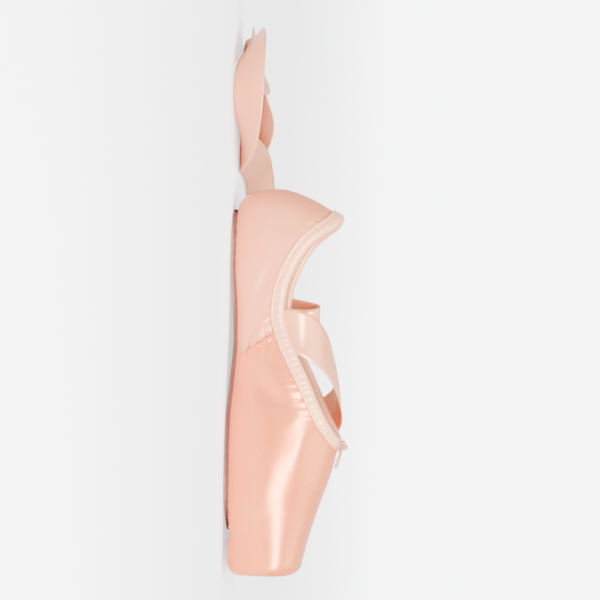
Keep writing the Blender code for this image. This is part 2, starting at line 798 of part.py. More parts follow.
def build_bow(collection, material):
    """The drawstring's bow at the middle of the throat: a knot, two loops and two ends."""
    middle = X_THROAT + KNOT_AHEAD
    bpy.ops.mesh.primitive_uv_sphere_add(segments=12, ring_count=8, radius=1)
    knot = bpy.context.object
    knot.name = "drawstring_knot"
    knot.data.name = "drawstring_knot"
    knot.data.transform(Matrix.Diagonal((KNOT_LONG / 2, KNOT_WIDE / 2, KNOT_HIGH / 2, 1)))
    rest = last_top(middle, 0) + BINDING_GAP + BINDING_CLOTH + GAP + BOW_LIFT
    knot.location = (middle, 0, rest + KNOT_HIGH / 2)
    knot.data.materials.append(material)
    knot.data.shade_smooth()
    for home in list(knot.users_collection):
        home.objects.unlink(knot)
    link(knot, collection)
    for side, word in ((-1, "near"), (1, "far")):
        loop = []
        for i in range(LOOP_POINTS):
            turn = LOOP_MOUTH + (2 * math.pi - 2 * LOOP_MOUTH) * i / (LOOP_POINTS - 1)
            out = LOOP_START + LOOP_LONG * (math.cos(LOOP_MOUTH) - math.cos(turn)) / 2
            swing = LOOP_WIDE / 2 * math.sin(turn) - LOOP_DROOP * out
            loop.append(on_vamp(middle - swing - LOOP_BACK, side * out))
        tube("drawstring_loop_" + word, loop, collection, material)
        end = []
        for i in range(END_POINTS):
            out = END_LONG * i / (END_POINTS - 1)
            swing = END_START + out * math.cos(END_SPREAD)
            away = END_APART + out * math.sin(END_SPREAD) + END_CURL * math.sin(out / END_LONG * math.pi)
            end.append(on_vamp(middle + swing, side * away))
        tube("drawstring_end_" + word, end, collection, material)


def main():
    for old in list(bpy.data.objects):
        bpy.data.objects.remove(old, do_unlink=True)
    shoe = bpy.data.collections.new("pointe_shoe")
    bpy.context.scene.collection.children.link(shoe)

    satin = paint("satin", (0.86, 0.55, 0.42), 0.30)
    tape = paint("binding_satin", (0.90, 0.68, 0.57), 0.35)
    leather = paint("sole_leather", (0.42, 0.26, 0.17), 0.65)
    ribbon = paint("ribbon_satin", (0.92, 0.70, 0.58), 0.25)
    cord = paint("drawstring", (0.78, 0.48, 0.38), 0.5)
    lining = paint("insole_canvas", (0.80, 0.72, 0.62), 0.85)

    build_outsole(shoe, leather)
    build_upper(shoe, satin)
    build_insole(shoe, lining)
    build_binding(shoe, tape)
    build_ribbon("ribbon_near", shoe, ribbon, NEAR_ROUTE, -1)
    build_ribbon("ribbon_far", shoe, ribbon, FAR_ROUTE, 1)
    build_bow(shoe, cord)


main()
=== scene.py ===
# %% [markdown]
# A satin pointe shoe, standing empty on its sole
#
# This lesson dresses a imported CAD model. The CAD shoe is the frame: every piece made here keeps
# its place and size, and adds what a mesh for collision leaves out, such as creases, pleats,
# stitches and cloth. All lengths are in metres. +X points to the platform at the toe, +Z is up,
# and -Y is the side that the camera looks at.

import math

import bmesh
import bpy
import numpy as np
from mathutils import Matrix, Vector


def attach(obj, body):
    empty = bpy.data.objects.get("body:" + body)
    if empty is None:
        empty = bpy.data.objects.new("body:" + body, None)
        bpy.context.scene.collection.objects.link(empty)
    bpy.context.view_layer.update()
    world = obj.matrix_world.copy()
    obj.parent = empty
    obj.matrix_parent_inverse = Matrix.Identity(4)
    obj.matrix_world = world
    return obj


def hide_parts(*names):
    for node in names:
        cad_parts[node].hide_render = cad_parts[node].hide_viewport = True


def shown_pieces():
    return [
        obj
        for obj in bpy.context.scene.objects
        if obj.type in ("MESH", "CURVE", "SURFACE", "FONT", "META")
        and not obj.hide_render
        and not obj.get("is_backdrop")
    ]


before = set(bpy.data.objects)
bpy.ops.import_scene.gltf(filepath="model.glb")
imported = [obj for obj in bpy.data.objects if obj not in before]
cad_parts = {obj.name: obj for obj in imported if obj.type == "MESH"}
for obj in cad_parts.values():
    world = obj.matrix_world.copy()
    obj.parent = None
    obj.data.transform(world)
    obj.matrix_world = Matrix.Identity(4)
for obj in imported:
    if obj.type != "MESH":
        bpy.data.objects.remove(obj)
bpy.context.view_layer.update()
print("CAD nodes:", sorted(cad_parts))

# %% [markdown]
# The last
#
# A shoe is made on a last, the solid form that its satin is pulled over. Its length, widths and
# heights are named here, and every piece is drawn from them, so the satin, the tape and the sole
# agree with each other. Short tables say how a width or a height changes along the shoe, and
# `smooth` reads them by a curve that never overshoots its rows.

# %% Sizes of the last
LENGTH = 0.225
HEEL_WIDTH = 0.055
WAIST_WIDTH = 0.0525
BALL_WIDTH = 0.076
INSTEP_HEIGHT = 0.0655
HEEL_HEIGHT = 0.0635
WAIST_HEIGHT = 0.0315
TOE_HEIGHT = 0.045
VAMP_LENGTH = 0.079
HEEL_ROUND = 0.034
HEEL_LEAN = 0.016
HEEL_LEAN_POWER = 1.6
HEEL_TUCK = 1.25
FEATHER_ROUND = 0.010
FEATHER_SQUARENESS = 2.3
PLATFORM_WIDTH = 0.046
EDGE_DEPTH = 0.008
EDGE_SIDE = 0.006
EDGE_TOP = 0.0085
EDGE_BELOW = 0.006
SOLE_THICK = 0.003
SOLE_BALL = 0.052
SOLE_WAIST = 0.029
SOLE_HEEL = 0.035
SOLE_TIP_ROUND = 0.030
SOLE_SHORT = 0.0255
ARCH_RISE = 0.0025
TOE_SPRING = 0.0014
PLEAT_DROP = 0.0014
QUARTER_WALL = 0.0015
BOX_WALL = 0.0024
SEAM_STEP = 0.0005
SEAM_WIDTH = 0.0009
LASTING_MARGIN = 0.006
TOE_MARGIN = 0.009
OPENING_ROUND = 0.030
GAP = 0.0003

X_HEEL = -LENGTH / 2
X_TOE = LENGTH / 2
X_FAN = X_HEEL + HEEL_ROUND
X_THROAT = X_TOE - VAMP_LENGTH
X_EDGE = X_TOE - EDGE_DEPTH
X_TIP = X_TOE - SOLE_SHORT
X_OPENING_END = X_TIP - TOE_MARGIN


def heel(share):
    """A place in the rounded heel, from its back to its side."""
    return X_HEEL + share * (X_FAN - X_HEEL)


def quarter(share):
    """A place along the quarter, from the heel's side to the throat."""
    return X_FAN + share * (X_THROAT - X_FAN)


def vamp(share):
    """A place along the vamp, from the throat to the platform's edge."""
    return X_THROAT + share * (X_EDGE - X_THROAT)


SEAM_AT_SOLE = quarter(0.585)
SEAM_AT_COLLAR = quarter(0.405)

# %% Tables of the last: place, then value
HALF_WIDTH = (
    (quarter(0.00), 0.500 * HEEL_WIDTH),
    (quarter(0.18), 0.488 * HEEL_WIDTH),
    (quarter(0.38), 0.500 * WAIST_WIDTH),
    (quarter(0.55), 0.545 * WAIST_WIDTH),
    (quarter(0.75), 0.432 * BALL_WIDTH),
    (quarter(0.90), 0.477 * BALL_WIDTH),
    (vamp(0.10), 0.500 * BALL_WIDTH),
    (vamp(0.32), 0.490 * BALL_WIDTH),
    (vamp(0.60), 0.446 * BALL_WIDTH),
    (vamp(0.85), 0.402 * BALL_WIDTH),
    (vamp(1.00), 0.500 * PLATFORM_WIDTH + EDGE_SIDE),
)
WIDEST = (
    (quarter(0.00), 0.42 * HEEL_HEIGHT),
    (quarter(0.30), 0.62 * WAIST_HEIGHT),
    (quarter(0.60), 0.62 * WAIST_HEIGHT),
    (vamp(0.00), 0.32 * INSTEP_HEIGHT),
    (vamp(0.60), 0.49 * TOE_HEIGHT),
    (vamp(1.00), 0.53 * TOE_HEIGHT),
)
CROWN = (
    (quarter(0.00), 1.22 * HEEL_HEIGHT),
    (quarter(0.35), 1.28 * INSTEP_HEIGHT),
    (quarter(0.68), 1.18 * INSTEP_HEIGHT),
    (quarter(0.87), 1.08 * INSTEP_HEIGHT),
    (vamp(0.00), 1.00 * INSTEP_HEIGHT),
    (vamp(0.27), 1.35 * TOE_HEIGHT),
    (vamp(0.55), 1.20 * TOE_HEIGHT),
    (vamp(0.82), 1.07 * TOE_HEIGHT),
    (vamp(1.00), 1.00 * TOE_HEIGHT),
)
SQUARENESS = (
    (quarter(0.00), 2.0),
    (quarter(0.70), 2.0),
    (vamp(0.10), 2.1),
    (vamp(0.60), 2.3),
    (vamp(1.00), 2.6),
)
COLLAR = (
    (heel(0.00), 1.00 * HEEL_HEIGHT),
    (heel(0.32), 0.955 * HEEL_HEIGHT),
    (heel(0.66), 0.845 * HEEL_HEIGHT),
    (quarter(0.00), 0.705 * HEEL_HEIGHT),
    (quarter(0.11), 0.590 * HEEL_HEIGHT),
    (quarter(0.23), 1.040 * WAIST_HEIGHT),
    (quarter(0.34), 1.000 * WAIST_HEIGHT),
    (quarter(0.46), 1.110 * WAIST_HEIGHT),
    (quarter(0.57), 0.620 * INSTEP_HEIGHT),
    (quarter(0.68), 0.715 * INSTEP_HEIGHT),
    (quarter(0.80), 0.808 * INSTEP_HEIGHT),
    (quarter(0.90), 0.892 * INSTEP_HEIGHT),
    (quarter(1.00), 1.000 * INSTEP_HEIGHT),
    (vamp(0.15), 1.120 * INSTEP_HEIGHT),
    (vamp(0.50), 1.500 * INSTEP_HEIGHT),
)
SOLE_LIFT = (
    (heel(0.00), 0.0),
    (quarter(0.08), 0.0),
    (quarter(0.30), 0.60 * ARCH_RISE),
    (quarter(0.50), 1.00 * ARCH_RISE),
    (quarter(0.72), 0.45 * ARCH_RISE),
    (quarter(0.90), 0.0),
    (vamp(0.45), 0.0),
    (vamp(0.75), 0.55 * TOE_SPRING),
    (vamp(1.00), 1.00 * TOE_SPRING),
)
SOLE_HALF = (
    (quarter(0.00), 0.500 * SOLE_HEEL),
    (quarter(0.20), 0.470 * SOLE_HEEL),
    (quarter(0.40), 0.500 * SOLE_WAIST),
    (quarter(0.58), 0.590 * SOLE_WAIST),
    (quarter(0.78), 0.425 * SOLE_BALL),
    (vamp(0.05), 0.500 * SOLE_BALL),
    (vamp(0.30), 0.498 * SOLE_BALL),
    (vamp(0.55), 0.470 * SOLE_BALL),
    (vamp(0.80), 0.440 * SOLE_BALL),
)


# %% Read the tables and draw a section of the last
def smooth(table, place):
    """Reads a table by a curve that bends no more than its rows do."""
    x = np.array([row[0] for row in table])
    y = np.array([row[1] for row in table])
    slopes = np.diff(y) / np.diff(x)
    tangent = np.zeros(len(x))
    rising = slopes[:-1] * slopes[1:] > 0
    tangent[1:-1][rising] = 2 / (1 / slopes[:-1][rising] + 1 / slopes[1:][rising])
    tangent[0], tangent[-1] = slopes[0], slopes[-1]
    at = np.clip(place, x[0], x[-1])
    i = np.clip(np.searchsorted(x, at, side="right") - 1, 0, len(x) - 2)
    span = x[i + 1] - x[i]
    t = (at - x[i]) / span
    return (
        (2 * t**3 - 3 * t**2 + 1) * y[i]
        + (t**3 - 2 * t**2 + t) * span * tangent[i]
        + (3 * t**2 - 2 * t**3) * y[i + 1]
        + (t**3 - t**2) * span * tangent[i + 1]
    )


def ease(low, high, value):
    """Goes softly from 0 at low to 1 at high."""
    t = np.clip((value - low) / (high - low), 0, 1)
    return t * t * (3 - 2 * t)


def bump(value, centre, width):
    """A soft hill of height 1."""
    return np.exp(-(((value - centre) / width) ** 2))


def rounding(place):
    """How far the platform's rounded edge has turned at a place: 0 to 1."""
    t = np.clip((place - X_EDGE) / EDGE_DEPTH, 0, 1)
    return 1 - np.sqrt(1 - t * t)


def seat(place):
    """Height of the satin that lies on the sole."""
    return SOLE_THICK + GAP + smooth(SOLE_LIFT, place)


def underside(place):
    """Height of the satin under the shoe, with the pleats that stand lower before the sole's tip."""
    pleats = PLEAT_DROP * ease(X_TIP + TOE_MARGIN / 8, X_TIP + TOE_MARGIN, place)
    return seat(place) - pleats + EDGE_BELOW * rounding(place)


def half_width(place):
    """Half of the last's width at a place."""
    return smooth(HALF_WIDTH, place) - EDGE_SIDE * rounding(place)


def crown(place):
    """Height of the last's top at a place."""
    return smooth(CROWN, place) - EDGE_TOP * rounding(place)


def section(place, level):
    """A point of the last: -2 under the middle, -1 at the feather line, 0 at the widest, 1 on the crown."""
    half, widest, square = half_width(place), smooth(WIDEST, place), smooth(SQUARENESS, place)
    flat = half - FEATHER_ROUND
    angle = np.clip(level, -1, 1) * math.pi / 2
    cosine, sine = np.clip(np.cos(angle), 0, 1), np.abs(np.sin(angle))
    low_y = flat + FEATHER_ROUND * cosine ** (2 / FEATHER_SQUARENESS)
    low_z = widest - (widest - underside(place)) * sine ** (2 / FEATHER_SQUARENESS)
    high_y = half * cosine ** (2 / square)
    high_z = widest + (crown(place) - widest) * sine ** (2 / square)
    y, z = np.where(level < 0, low_y, high_y), np.where(level < 0, low_z, high_z)
    return np.where(level < -1, flat * (level + 2), y), z


def fan(turn, y, z):
    """Turns the section at the heel's side round to the back, by an angle from the back."""
    widest = smooth(WIDEST, X_FAN)
    tuck = HEEL_TUCK * (half_width(X_FAN) - y)
    rise = np.clip((z - widest) / (HEEL_HEIGHT - widest), 0, None)
    back = X_HEEL + np.where(z < widest, tuck, HEEL_LEAN * rise**HEEL_LEAN_POWER)
    return X_FAN - (X_FAN - back) * np.cos(turn), y * np.sin(turn), z


def wall_at(place, height):
    """Half-width of the quarter's outer face at a place and height."""
    widest, square = smooth(WIDEST, place), smooth(SQUARENESS, place)
    share = np.clip((height - widest) / (crown(place) - widest), 0, 1)
    return half_width(place) * (1 - share**square) ** (1 / square)


def run_of(points):
    """How far along a line each of its points is."""
    return np.concatenate([[0], np.cumsum(np.linalg.norm(np.diff(points, axis=0), axis=1))])


def along_line(points, wanted):
    """Points at wanted lengths along a line."""
    run = run_of(points)
    return np.stack([np.interp(wanted, run, points[:, axis]) for axis in range(3)], axis=1)


print("throat at", round(X_THROAT, 4), "sole's tip at", round(X_TIP, 4))

# %% [markdown]
# The camera
#
# The real shoe is pictured from its side while it stands on its toe. Here the shoe stands on its
# sole, so the camera keeps its level place at the side and is rolled by a quarter turn: the toe
# points down the picture. A long lens from far away keeps the outline free of perspective. It is
# made first, because the ribbons are laid out for what it sees.

# %% The camera
CAMERA_FAR = 2.6
CAMERA_LIFT = math.radians(4.5)
CAMERA_ROLL = math.radians(1.5)
FRAME_SIDE = 0.350
SENSOR_MM = 36
AIM = Vector((-0.048, 0.0, 0.040))

camera_data = bpy.data.cameras.new("camera")
camera_data.sensor_width = SENSOR_MM
camera_data.lens = SENSOR_MM * CAMERA_FAR / FRAME_SIDE
camera = bpy.data.objects.new("camera", camera_data)
bpy.context.scene.collection.objects.link(camera)
bpy.context.scene.camera = camera
backward = Vector((0, -math.cos(CAMERA_LIFT), math.sin(CAMERA_LIFT)))
right = Vector((0, math.sin(CAMERA_LIFT), math.cos(CAMERA_LIFT)))
turned = Matrix((right, backward.cross(right), backward)).transposed().to_4x4()
camera.matrix_world = (
    Matrix.Translation(AIM + backward * CAMERA_FAR) @ turned @ Matrix.Rotation(CAMERA_ROLL, 4, "Z")
)
print("camera at", [round(value, 3) for value in camera.location])

# %% [markdown]
# Mesh helpers
#
# Cloth is easiest to make as a grid of points: one direction runs along the shoe and the other
# across it. `cloth` turns such a grid into a mesh and keeps both lengths as UVs in metres, so a
# weave keeps its real size wherever it lies.

# %% Make a piece
WELD_REACH = 0.00001


def cloth(name, grids, replaced=(), weld=True):
    """A mesh from grids of points. Each grid is (points, uv, flip, material index)."""
    data = bpy.data.meshes.new(name)
    points, faces, uvs, indices = [], [], [], []
    start = 0
    for grid, uv, flip, index in grids:
        rows, columns = grid.shape[:2]
        ids = start + np.arange(rows * columns).reshape(rows, columns)
        quads = np.stack([ids[:-1, :-1], ids[1:, :-1], ids[1:, 1:], ids[:-1, 1:]], axis=-1).reshape(-1, 4)
        faces.append(quads[:, ::-1] if flip else quads)
        points.append(grid.reshape(-1, 3))
        uvs.append(uv.reshape(-1, 2))
        indices.append(np.broadcast_to(index, (rows - 1, columns - 1)).reshape(-1))
        start += rows * columns
    points, faces, uvs = np.vstack(points), np.vstack(faces), np.vstack(uvs)
    data.from_pydata(points.tolist(), [], faces.tolist())
    layer = data.uv_layers.new(name="UVMap")
    layer.data.foreach_set("uv", uvs[faces.reshape(-1)].astype(np.float32).reshape(-1))
    data.polygons.foreach_set("material_index", np.concatenate(indices).astype(np.int32))
    if weld:
        mesh = bmesh.new()
        mesh.from_mesh(data)
        bmesh.ops.remove_doubles(mesh, verts=mesh.verts, dist=WELD_REACH)
        bmesh.ops.dissolve_degenerate(mesh, edges=mesh.edges, dist=WELD_REACH / 2)
        mesh.to_mesh(data)
        mesh.free()
    data.shade_smooth()
    return place_piece(name, data, replaced)


def place_piece(name, data, replaced=()):
    """Links a mesh or curve as a piece that rides on the shoe."""
    piece = bpy.data.objects.new(name, data)
    bpy.context.scene.collection.objects.link(piece)
    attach(piece, "root")
    if replaced:
        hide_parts(*replaced)
    return piece


# %% Measure a grid
def lengths(grid):
    """UVs in metres for a grid: how far along its rows, and how far along its columns."""
    along = np.linalg.norm(np.diff(grid, axis=0), axis=2).mean(axis=1)
    across = np.concatenate(
        [np.zeros((len(grid), 1)), np.cumsum(np.linalg.norm(np.diff(grid, axis=1), axis=2), axis=1)], axis=1
    )
    u = np.broadcast_to(np.concatenate([[0], np.cumsum(along)])[:, None], grid.shape[:2])
    return np.stack([u, across], axis=-1)


def faces_of(grid):
    """The way that each point of a grid looks, out of the shoe on its right half."""
    normal = np.cross(np.gradient(grid, axis=0), np.gradient(grid, axis=1))
    return normal / np.maximum(np.linalg.norm(normal, axis=2, keepdims=True), 1e-12)


# How a gather's wave wanders. Columns: size, waves to each fold, share of the seed.
WANDER = ((0.9, 1.7, 1.0), (0.6, 0.73, 2.1))


def ripple(distance, wave, seed):
    """A gather's wave, whose length wanders so that no two folds are alike."""
    drift = sum(size * np.sin(distance / wave * rate + share * seed) for size, rate, share in WANDER)
    return np.sin(2 * math.pi * distance / wave + drift)


# %% [markdown]
# The ribbons
#
# Two satin ribbons are sewn inside the quarters, and they tie the shoe on. Untied, they fall out of
# the collar and lie on the floor. A ribbon is a strip that can't stretch: it leans over where its
# route bends. A spline through a few listed points gives the route, and each cross-row is set
# square to it. The same points made the CAD's ribbons.

# %% Routes of the ribbons: x, y, z, then the way that the face looks
RIBBON_WIDTH = 0.025
RIBBON_THICK = 0.0006
RIBBON_LENGTH = 0.48
RIBBON_STEP = 0.0025
SEWN_LENGTH = 0.044
RIBBON_HELD = 0.037
RIBBON_FREE = 0.041
RIBBON_STAND = 0.034
RIBBON_LAID = 0.007
BEND_BLUR = 0.024
BINDING_GAP = 0.0004
BINDING_CLOTH = 0.0008
NEAR_ROUTE = (
    (-0.030, -0.0230, 0.013, 0, 1, 0),
    (-0.030, -0.0230, 0.021, 0, 1, 0),
    (-0.030, -0.0228, 0.029, 0, 1, 0),
    (-0.030, -0.0222, 0.037, 0, 1, -0.1),
    (-0.027, -0.0195, 0.046, 0.1, 0.8, -0.6),
    (-0.019, -0.0110, 0.055, 0.2, 0.4, -1),
    (-0.008, 0.0005, 0.0605, 0.1, 0, -1),
    (0.004, 0.0130, 0.0635, 0, -0.2, -1),
    (0.014, 0.0250, 0.0620, 0, -0.5, -1),
    (0.022, 0.0360, 0.0540, 0, -1, -0.8),
    (0.028, 0.0435, 0.040, 0, -1, -0.3),
    (0.032, 0.0490, 0.024, 0, -1, -0.3),
    (0.036, 0.0560, 0.011, 0, -0.8, -0.7),
    (0.042, 0.0680, 0, 0, -0.2, -1),
    (0.050, 0.0850, 0, 0, 0, -1),
    (0.049, 0.1060, 0, 0, 0, -1),
    (0.034, 0.1230, 0, 0, 0, -1),
    (0.010, 0.1280, 0, 0, 0, -1),
    (-0.016, 0.1240, 0, 0, 0, -1),
    (-0.042, 0.1230, 0, 0, 0, -1),
    (-0.067, 0.1310, 0, 0, 0, -1),
    (-0.092, 0.1380, 0, 0, 0, -1),
    (-0.117, 0.1350, 0, 0, 0, -1),
    (-0.140, 0.1260, 0, 0, 0, -1),
    (-0.164, 0.1260, 0, 0, 0, -1),
    (-0.188, 0.1340, 0, 0, 0, -1),
    (-0.212, 0.1400, 0, 0, 0, -1),
)
FAR_ROUTE = (
    (-0.030, 0.0230, 0.013, 0, -1, 0),
    (-0.030, 0.0230, 0.021, 0, -1, 0),
    (-0.030, 0.0228, 0.029, 0, -1, 0),
    (-0.030, 0.0220, 0.037, 0, -1, 0),
    (-0.030, 0.0224, 0.0435, 0, -1, 0.3),
    (-0.031, 0.0266, 0.0490, 0, -0.6, 1),
    (-0.033, 0.0342, 0.0482, 0, 0.5, 1),
    (-0.035, 0.0405, 0.0390, 0, 1, 0.5),
    (-0.037, 0.0455, 0.0280, 0, 1, 0.5),
    (-0.040, 0.0525, 0.0160, 0, 1, 0.8),
    (-0.045, 0.0610, 0.0060, 0, 0.6, 1),
    (-0.052, 0.0710, 0, 0, 0.1, 1),
    (-0.065, 0.0820, 0, 0, 0, 1),
    (-0.083, 0.0870, 0, 0, 0, 1),
    (-0.102, 0.0840, 0, 0, 0, 1),
    (-0.119, 0.0720, 0, 0, 0, 1),
    (-0.130, 0.0520, 0, 0, 0, 1),
    (-0.134, 0.0290, 0, 0, 0, 1),
    (-0.137, 0.0050, 0, 0, 0, 1),
    (-0.143, -0.0180, 0, 0, 0, 1),
    (-0.157, -0.0360, 0, 0, 0, 1),
    (-0.177, -0.0400, 0, 0, 0, 1),
    (-0.192, -0.0260, 0, 0, 0, 1),
    (-0.196, -0.0030, 0, 0, 0, 1),
    (-0.189, 0.0190, 0, 0, 0, 1),
    (-0.181, 0.0390, 0, 0, 0, 1),
    (-0.181, 0.0610, 0, 0, 0, 1),
    (-0.190, 0.0810, 0, 0, 0, 1),
    (-0.204, 0.0980, 0, 0, 0, 1),
)

# %% Draw a smooth line through a route
SPLINE_STEPS = 20


def spline(rows, step, length):
    """Points every step along the smooth curve through the rows of a route."""
    knots = np.array(rows, dtype=float)
    ends = np.vstack([2 * knots[0] - knots[1], knots, 2 * knots[-1] - knots[-2]])
    fine = []
    for a, b, c, d in zip(ends, ends[1:], ends[2:], ends[3:]):
        for t in np.linspace(0, 1, SPLINE_STEPS, endpoint=False):
            square, cube = (2 * a - 5 * b + 4 * c - d) * t**2, (3 * b - a - 3 * c + d) * t**3
            fine.append(0.5 * (2 * b + (c - a) * t + square + cube))
    fine = np.array(fine + [knots[-1]])
    run = run_of(fine[:, :3])
    wanted = np.linspace(0, min(run[-1], length), int(round(length / step)) + 1)
    return np.stack([np.interp(wanted, run, fine[:, axis]) for axis in range(fine.shape[1])], axis=1)


# %% Lay the ribbons
RIBBON_CURL = 0.0006
CURL_WAVE = 0.031
CURL_FROM = 0.05
CURL_FULL = 0.09
FACE_BLUR = 2
RIBBON_COLUMNS = 12
ACROSS = np.linspace(-0.5, 0.5, RIBBON_COLUMNS + 1)


def blurred(values, reach):
    """The running mean of rows of values."""
    padded = np.pad(values, ((reach, reach), (0, 0)), mode="edge")
    return np.mean([padded[i : i + len(values)] for i in range(2 * reach + 1)], axis=0)


def ribbon_rows(route, side, seed):
    """The centre line of a ribbon, how far along it each row is, and the rows themselves."""
    line = spline(route, RIBBON_STEP, RIBBON_LENGTH)
    centre = line[:, :3]
    along = np.gradient(centre, axis=0)
    step = np.linalg.norm(along, axis=1)[:, None]
    along /= step
    bend = np.gradient(along, axis=0) / step
    bend[:, 2] = 0
    bend = blurred(bend, int(BEND_BLUR / RIBBON_STEP))
    laid = ease(RIBBON_LAID, 0, centre[:, 2])[:, None]
    face = line[:, 3:] / np.linalg.norm(line[:, 3:], axis=1)[:, None]
    face = blurred(face + bend * RIBBON_STAND * laid * np.sign(face[:, 2:]), FACE_BLUR)
    across = np.cross(along, face)
    across /= np.linalg.norm(across, axis=1)[:, None]
    face = np.cross(across, along)
    lowest = RIBBON_WIDTH / 2 * np.abs(across[:, 2]) + RIBBON_THICK / 2 + GAP
    centre[:, 2] = np.maximum(centre[:, 2], lowest)
    far = np.arange(len(centre)) * RIBBON_LENGTH / (len(centre) - 1)
    curl = RIBBON_CURL * (1 + np.sin(far / CURL_WAVE + seed)) * ease(CURL_FROM, CURL_FULL, far)
    hollow = curl[:, None] * (4 * ACROSS**2)[None, :]
    flat = centre[:, None] + across[:, None] * RIBBON_WIDTH * ACROSS[None, :, None]
    grid = flat + face[:, None] * hollow[..., None]
    inset = SEAM_STEP + QUARTER_WALL + BINDING_GAP + BINDING_CLOTH + GAP + RIBBON_THICK
    sewn = side * (wall_at(grid[..., 0], grid[..., 2]) - inset)
    follow = ease(RIBBON_FREE, RIBBON_HELD, grid[..., 2]) * (far < SEWN_LENGTH)[:, None]
    grid[..., 1] = sewn * follow + grid[..., 1] * (1 - follow)
    sunk = np.maximum(RIBBON_THICK / 2 + GAP - grid[..., 2].min(axis=1), 0)
    grid[..., 2] += sunk[:, None]
    return centre, far, grid


def lay_ribbon(name, node, route, side, seed):
    """One ribbon: a flat strip of satin, given its thickness."""
    centre, far, grid = ribbon_rows(route, side, seed)
    # Across a ribbon the UVs are shares of its width, so its threads are finer than can be seen.
    uv = np.stack(np.broadcast_arrays(far[:, None], ACROSS), axis=-1)
    piece = cloth(name, [(grid, uv, False, 0)], [node])
    wall = piece.modifiers.new("Thickness", "SOLIDIFY")
    wall.thickness = RIBBON_THICK
    wall.offset = 0
    return piece, grid


ribbon_near, near_grid = lay_ribbon("ribbon_near_satin", "ribbon_near", NEAR_ROUTE, -1, 0.4)
ribbon_far, far_grid = lay_ribbon("ribbon_far_satin", "ribbon_far", FAR_ROUTE, 1, 2.2)
print("each ribbon is", RIBBON_LENGTH, "m of 25 mm satin")

# %% [markdown]
# The drawstring's bow
#
# A thin cord runs inside the binding and comes out at the throat, where its ends are tied in a
# tiny bow. One cord makes it all: an end, a loop, the other loop and the other end. A round tube
# swept along that line makes it, and the knot round its middle is a small wrapped form.

# %% Tie the bow
CORD_THICK = 0.0016
KNOT_LONG = 0.0040
KNOT_WIDE = 0.0052
KNOT_HIGH = 0.0040
KNOT_AHEAD = 0.0035
LOOP_LONG = 0.0095
LOOP_WIDE = 0.0052
LOOP_START = 0.0026
LOOP_MOUTH = 0.70
LOOP_DROOP = 0.10
LOOP_BACK = 0.0010
LOOP_STEPS = 24
END_LONG = 0.0120
END_SPREAD = 0.55
END_START = 0.0024
END_APART = 0.0012
END_CURL = 0.0012
END_STEPS = 9
BOW_LIFT = 0.0002
BOW_REST = BINDING_GAP + BINDING_CLOTH + GAP + BOW_LIFT


def last_top(place, y):
    """Height of the vamp above the floor at a place and a distance from the middle."""
    widest, square = smooth(WIDEST, place), smooth(SQUARENESS, place)
    share = min(abs(y) / half_width(place), 1)
    return float(widest + (crown(place) - widest) * (1 - share**square) ** (1 / square))


def on_vamp(place, y):
    """A point of the cord that lies on the vamp."""
    return place, y, last_top(place, y) + BOW_REST + CORD_THICK / 2


def loop_points(middle, side):
    """One loop of the bow, out from the knot and back to it."""
    points = []
    for i in range(LOOP_STEPS + 1):
        turn = LOOP_MOUTH + (2 * math.pi - 2 * LOOP_MOUTH) * i / LOOP_STEPS
        out = LOOP_START + LOOP_LONG * (math.cos(LOOP_MOUTH) - math.cos(turn)) / 2
        swing = LOOP_WIDE / 2 * math.sin(turn) - LOOP_DROOP * out
        points.append(on_vamp(middle - swing - LOOP_BACK, side * out))
    return points


def end_points(middle, side):
    """One loose end of the bow, from the knot to its tip."""
    points = []
    for i in range(END_STEPS + 1):
        out = END_LONG * i / END_STEPS
        swing = END_START + out * math.cos(END_SPREAD)
        away = END_APART + out * math.sin(END_SPREAD) + END_CURL * math.sin(out / END_LONG * math.pi)
        points.append(on_vamp(middle + swing, side * away))
    return points


bow_middle = X_THROAT + KNOT_AHEAD
knot_rest = last_top(bow_middle, 0) + BOW_REST
inside_knot = (bow_middle, 0, knot_rest + KNOT_HIGH / 2)
bow_line = (
    end_points(bow_middle, -1)[::-1] + [inside_knot] + loop_points(bow_middle, -1)
    + [inside_knot] + loop_points(bow_middle, 1) + [inside_knot] + end_points(bow_middle, 1)
)
bow_nodes = ["drawstring_" + word for word in ("loop_near", "loop_far", "end_near", "end_far")]
print("the bow's line has", len(bow_line), "points")

# %% Twist the cord
PLY_TURN = 0.0026
PLY_RELIEF = 0.09
PLY_STEP = 0.0003
CORD_SIDES = 14
TIP_SHARE = 0.02
TIP_LONG = 0.4


def twisted_cord(name, points, thick, replaced):
    """A cord of two plies: a tube whose radius swells and sinks as the plies wind round it."""
    points = np.array(points, dtype=float)
    run = run_of(points)
    even = along_line(points, np.linspace(0, run[-1], int(run[-1] / PLY_STEP)))
    even = blurred(even, 1)
    run = run_of(even)
    ahead = np.gradient(even, axis=0)
    ahead /= np.linalg.norm(ahead, axis=1)[:, None]
    turns = np.linspace(0, 2 * math.pi, CORD_SIDES + 1)
    rows = []
    side = np.array([0.0, 0.0, 1.0])
    for i, (point, way) in enumerate(zip(even, ahead)):
        side = side - way * side.dot(way)
        side /= np.linalg.norm(side)
        other = np.cross(way, side)
        ends = min(run[i], run[-1] - run[i])
        blunt = math.sqrt(min(1, TIP_SHARE + ends / (thick * TIP_LONG)))
        wave = 1 - PLY_RELIEF + PLY_RELIEF * np.cos(2 * (turns - math.pi * run[i] / PLY_TURN))
        size = (thick / 2 * blunt * wave)[:, None]
        rows.append(point + size * (np.cos(turns)[:, None] * side + np.sin(turns)[:, None] * other))
    grid = np.array(rows)
    return cloth(name, [(grid, lengths(grid), True, 0)], replaced)


bow = twisted_cord("drawstring_bow", bow_line, CORD_THICK, bow_nodes)

# %% Wrap the knot
KNOT_SIDES = 40
KNOT_ROWS = 24
KNOT_RIDGE = 0.07
KNOT_SUNK = 0.05
KNOT_WRAPS = 5
KNOT_SLANT = 1.2


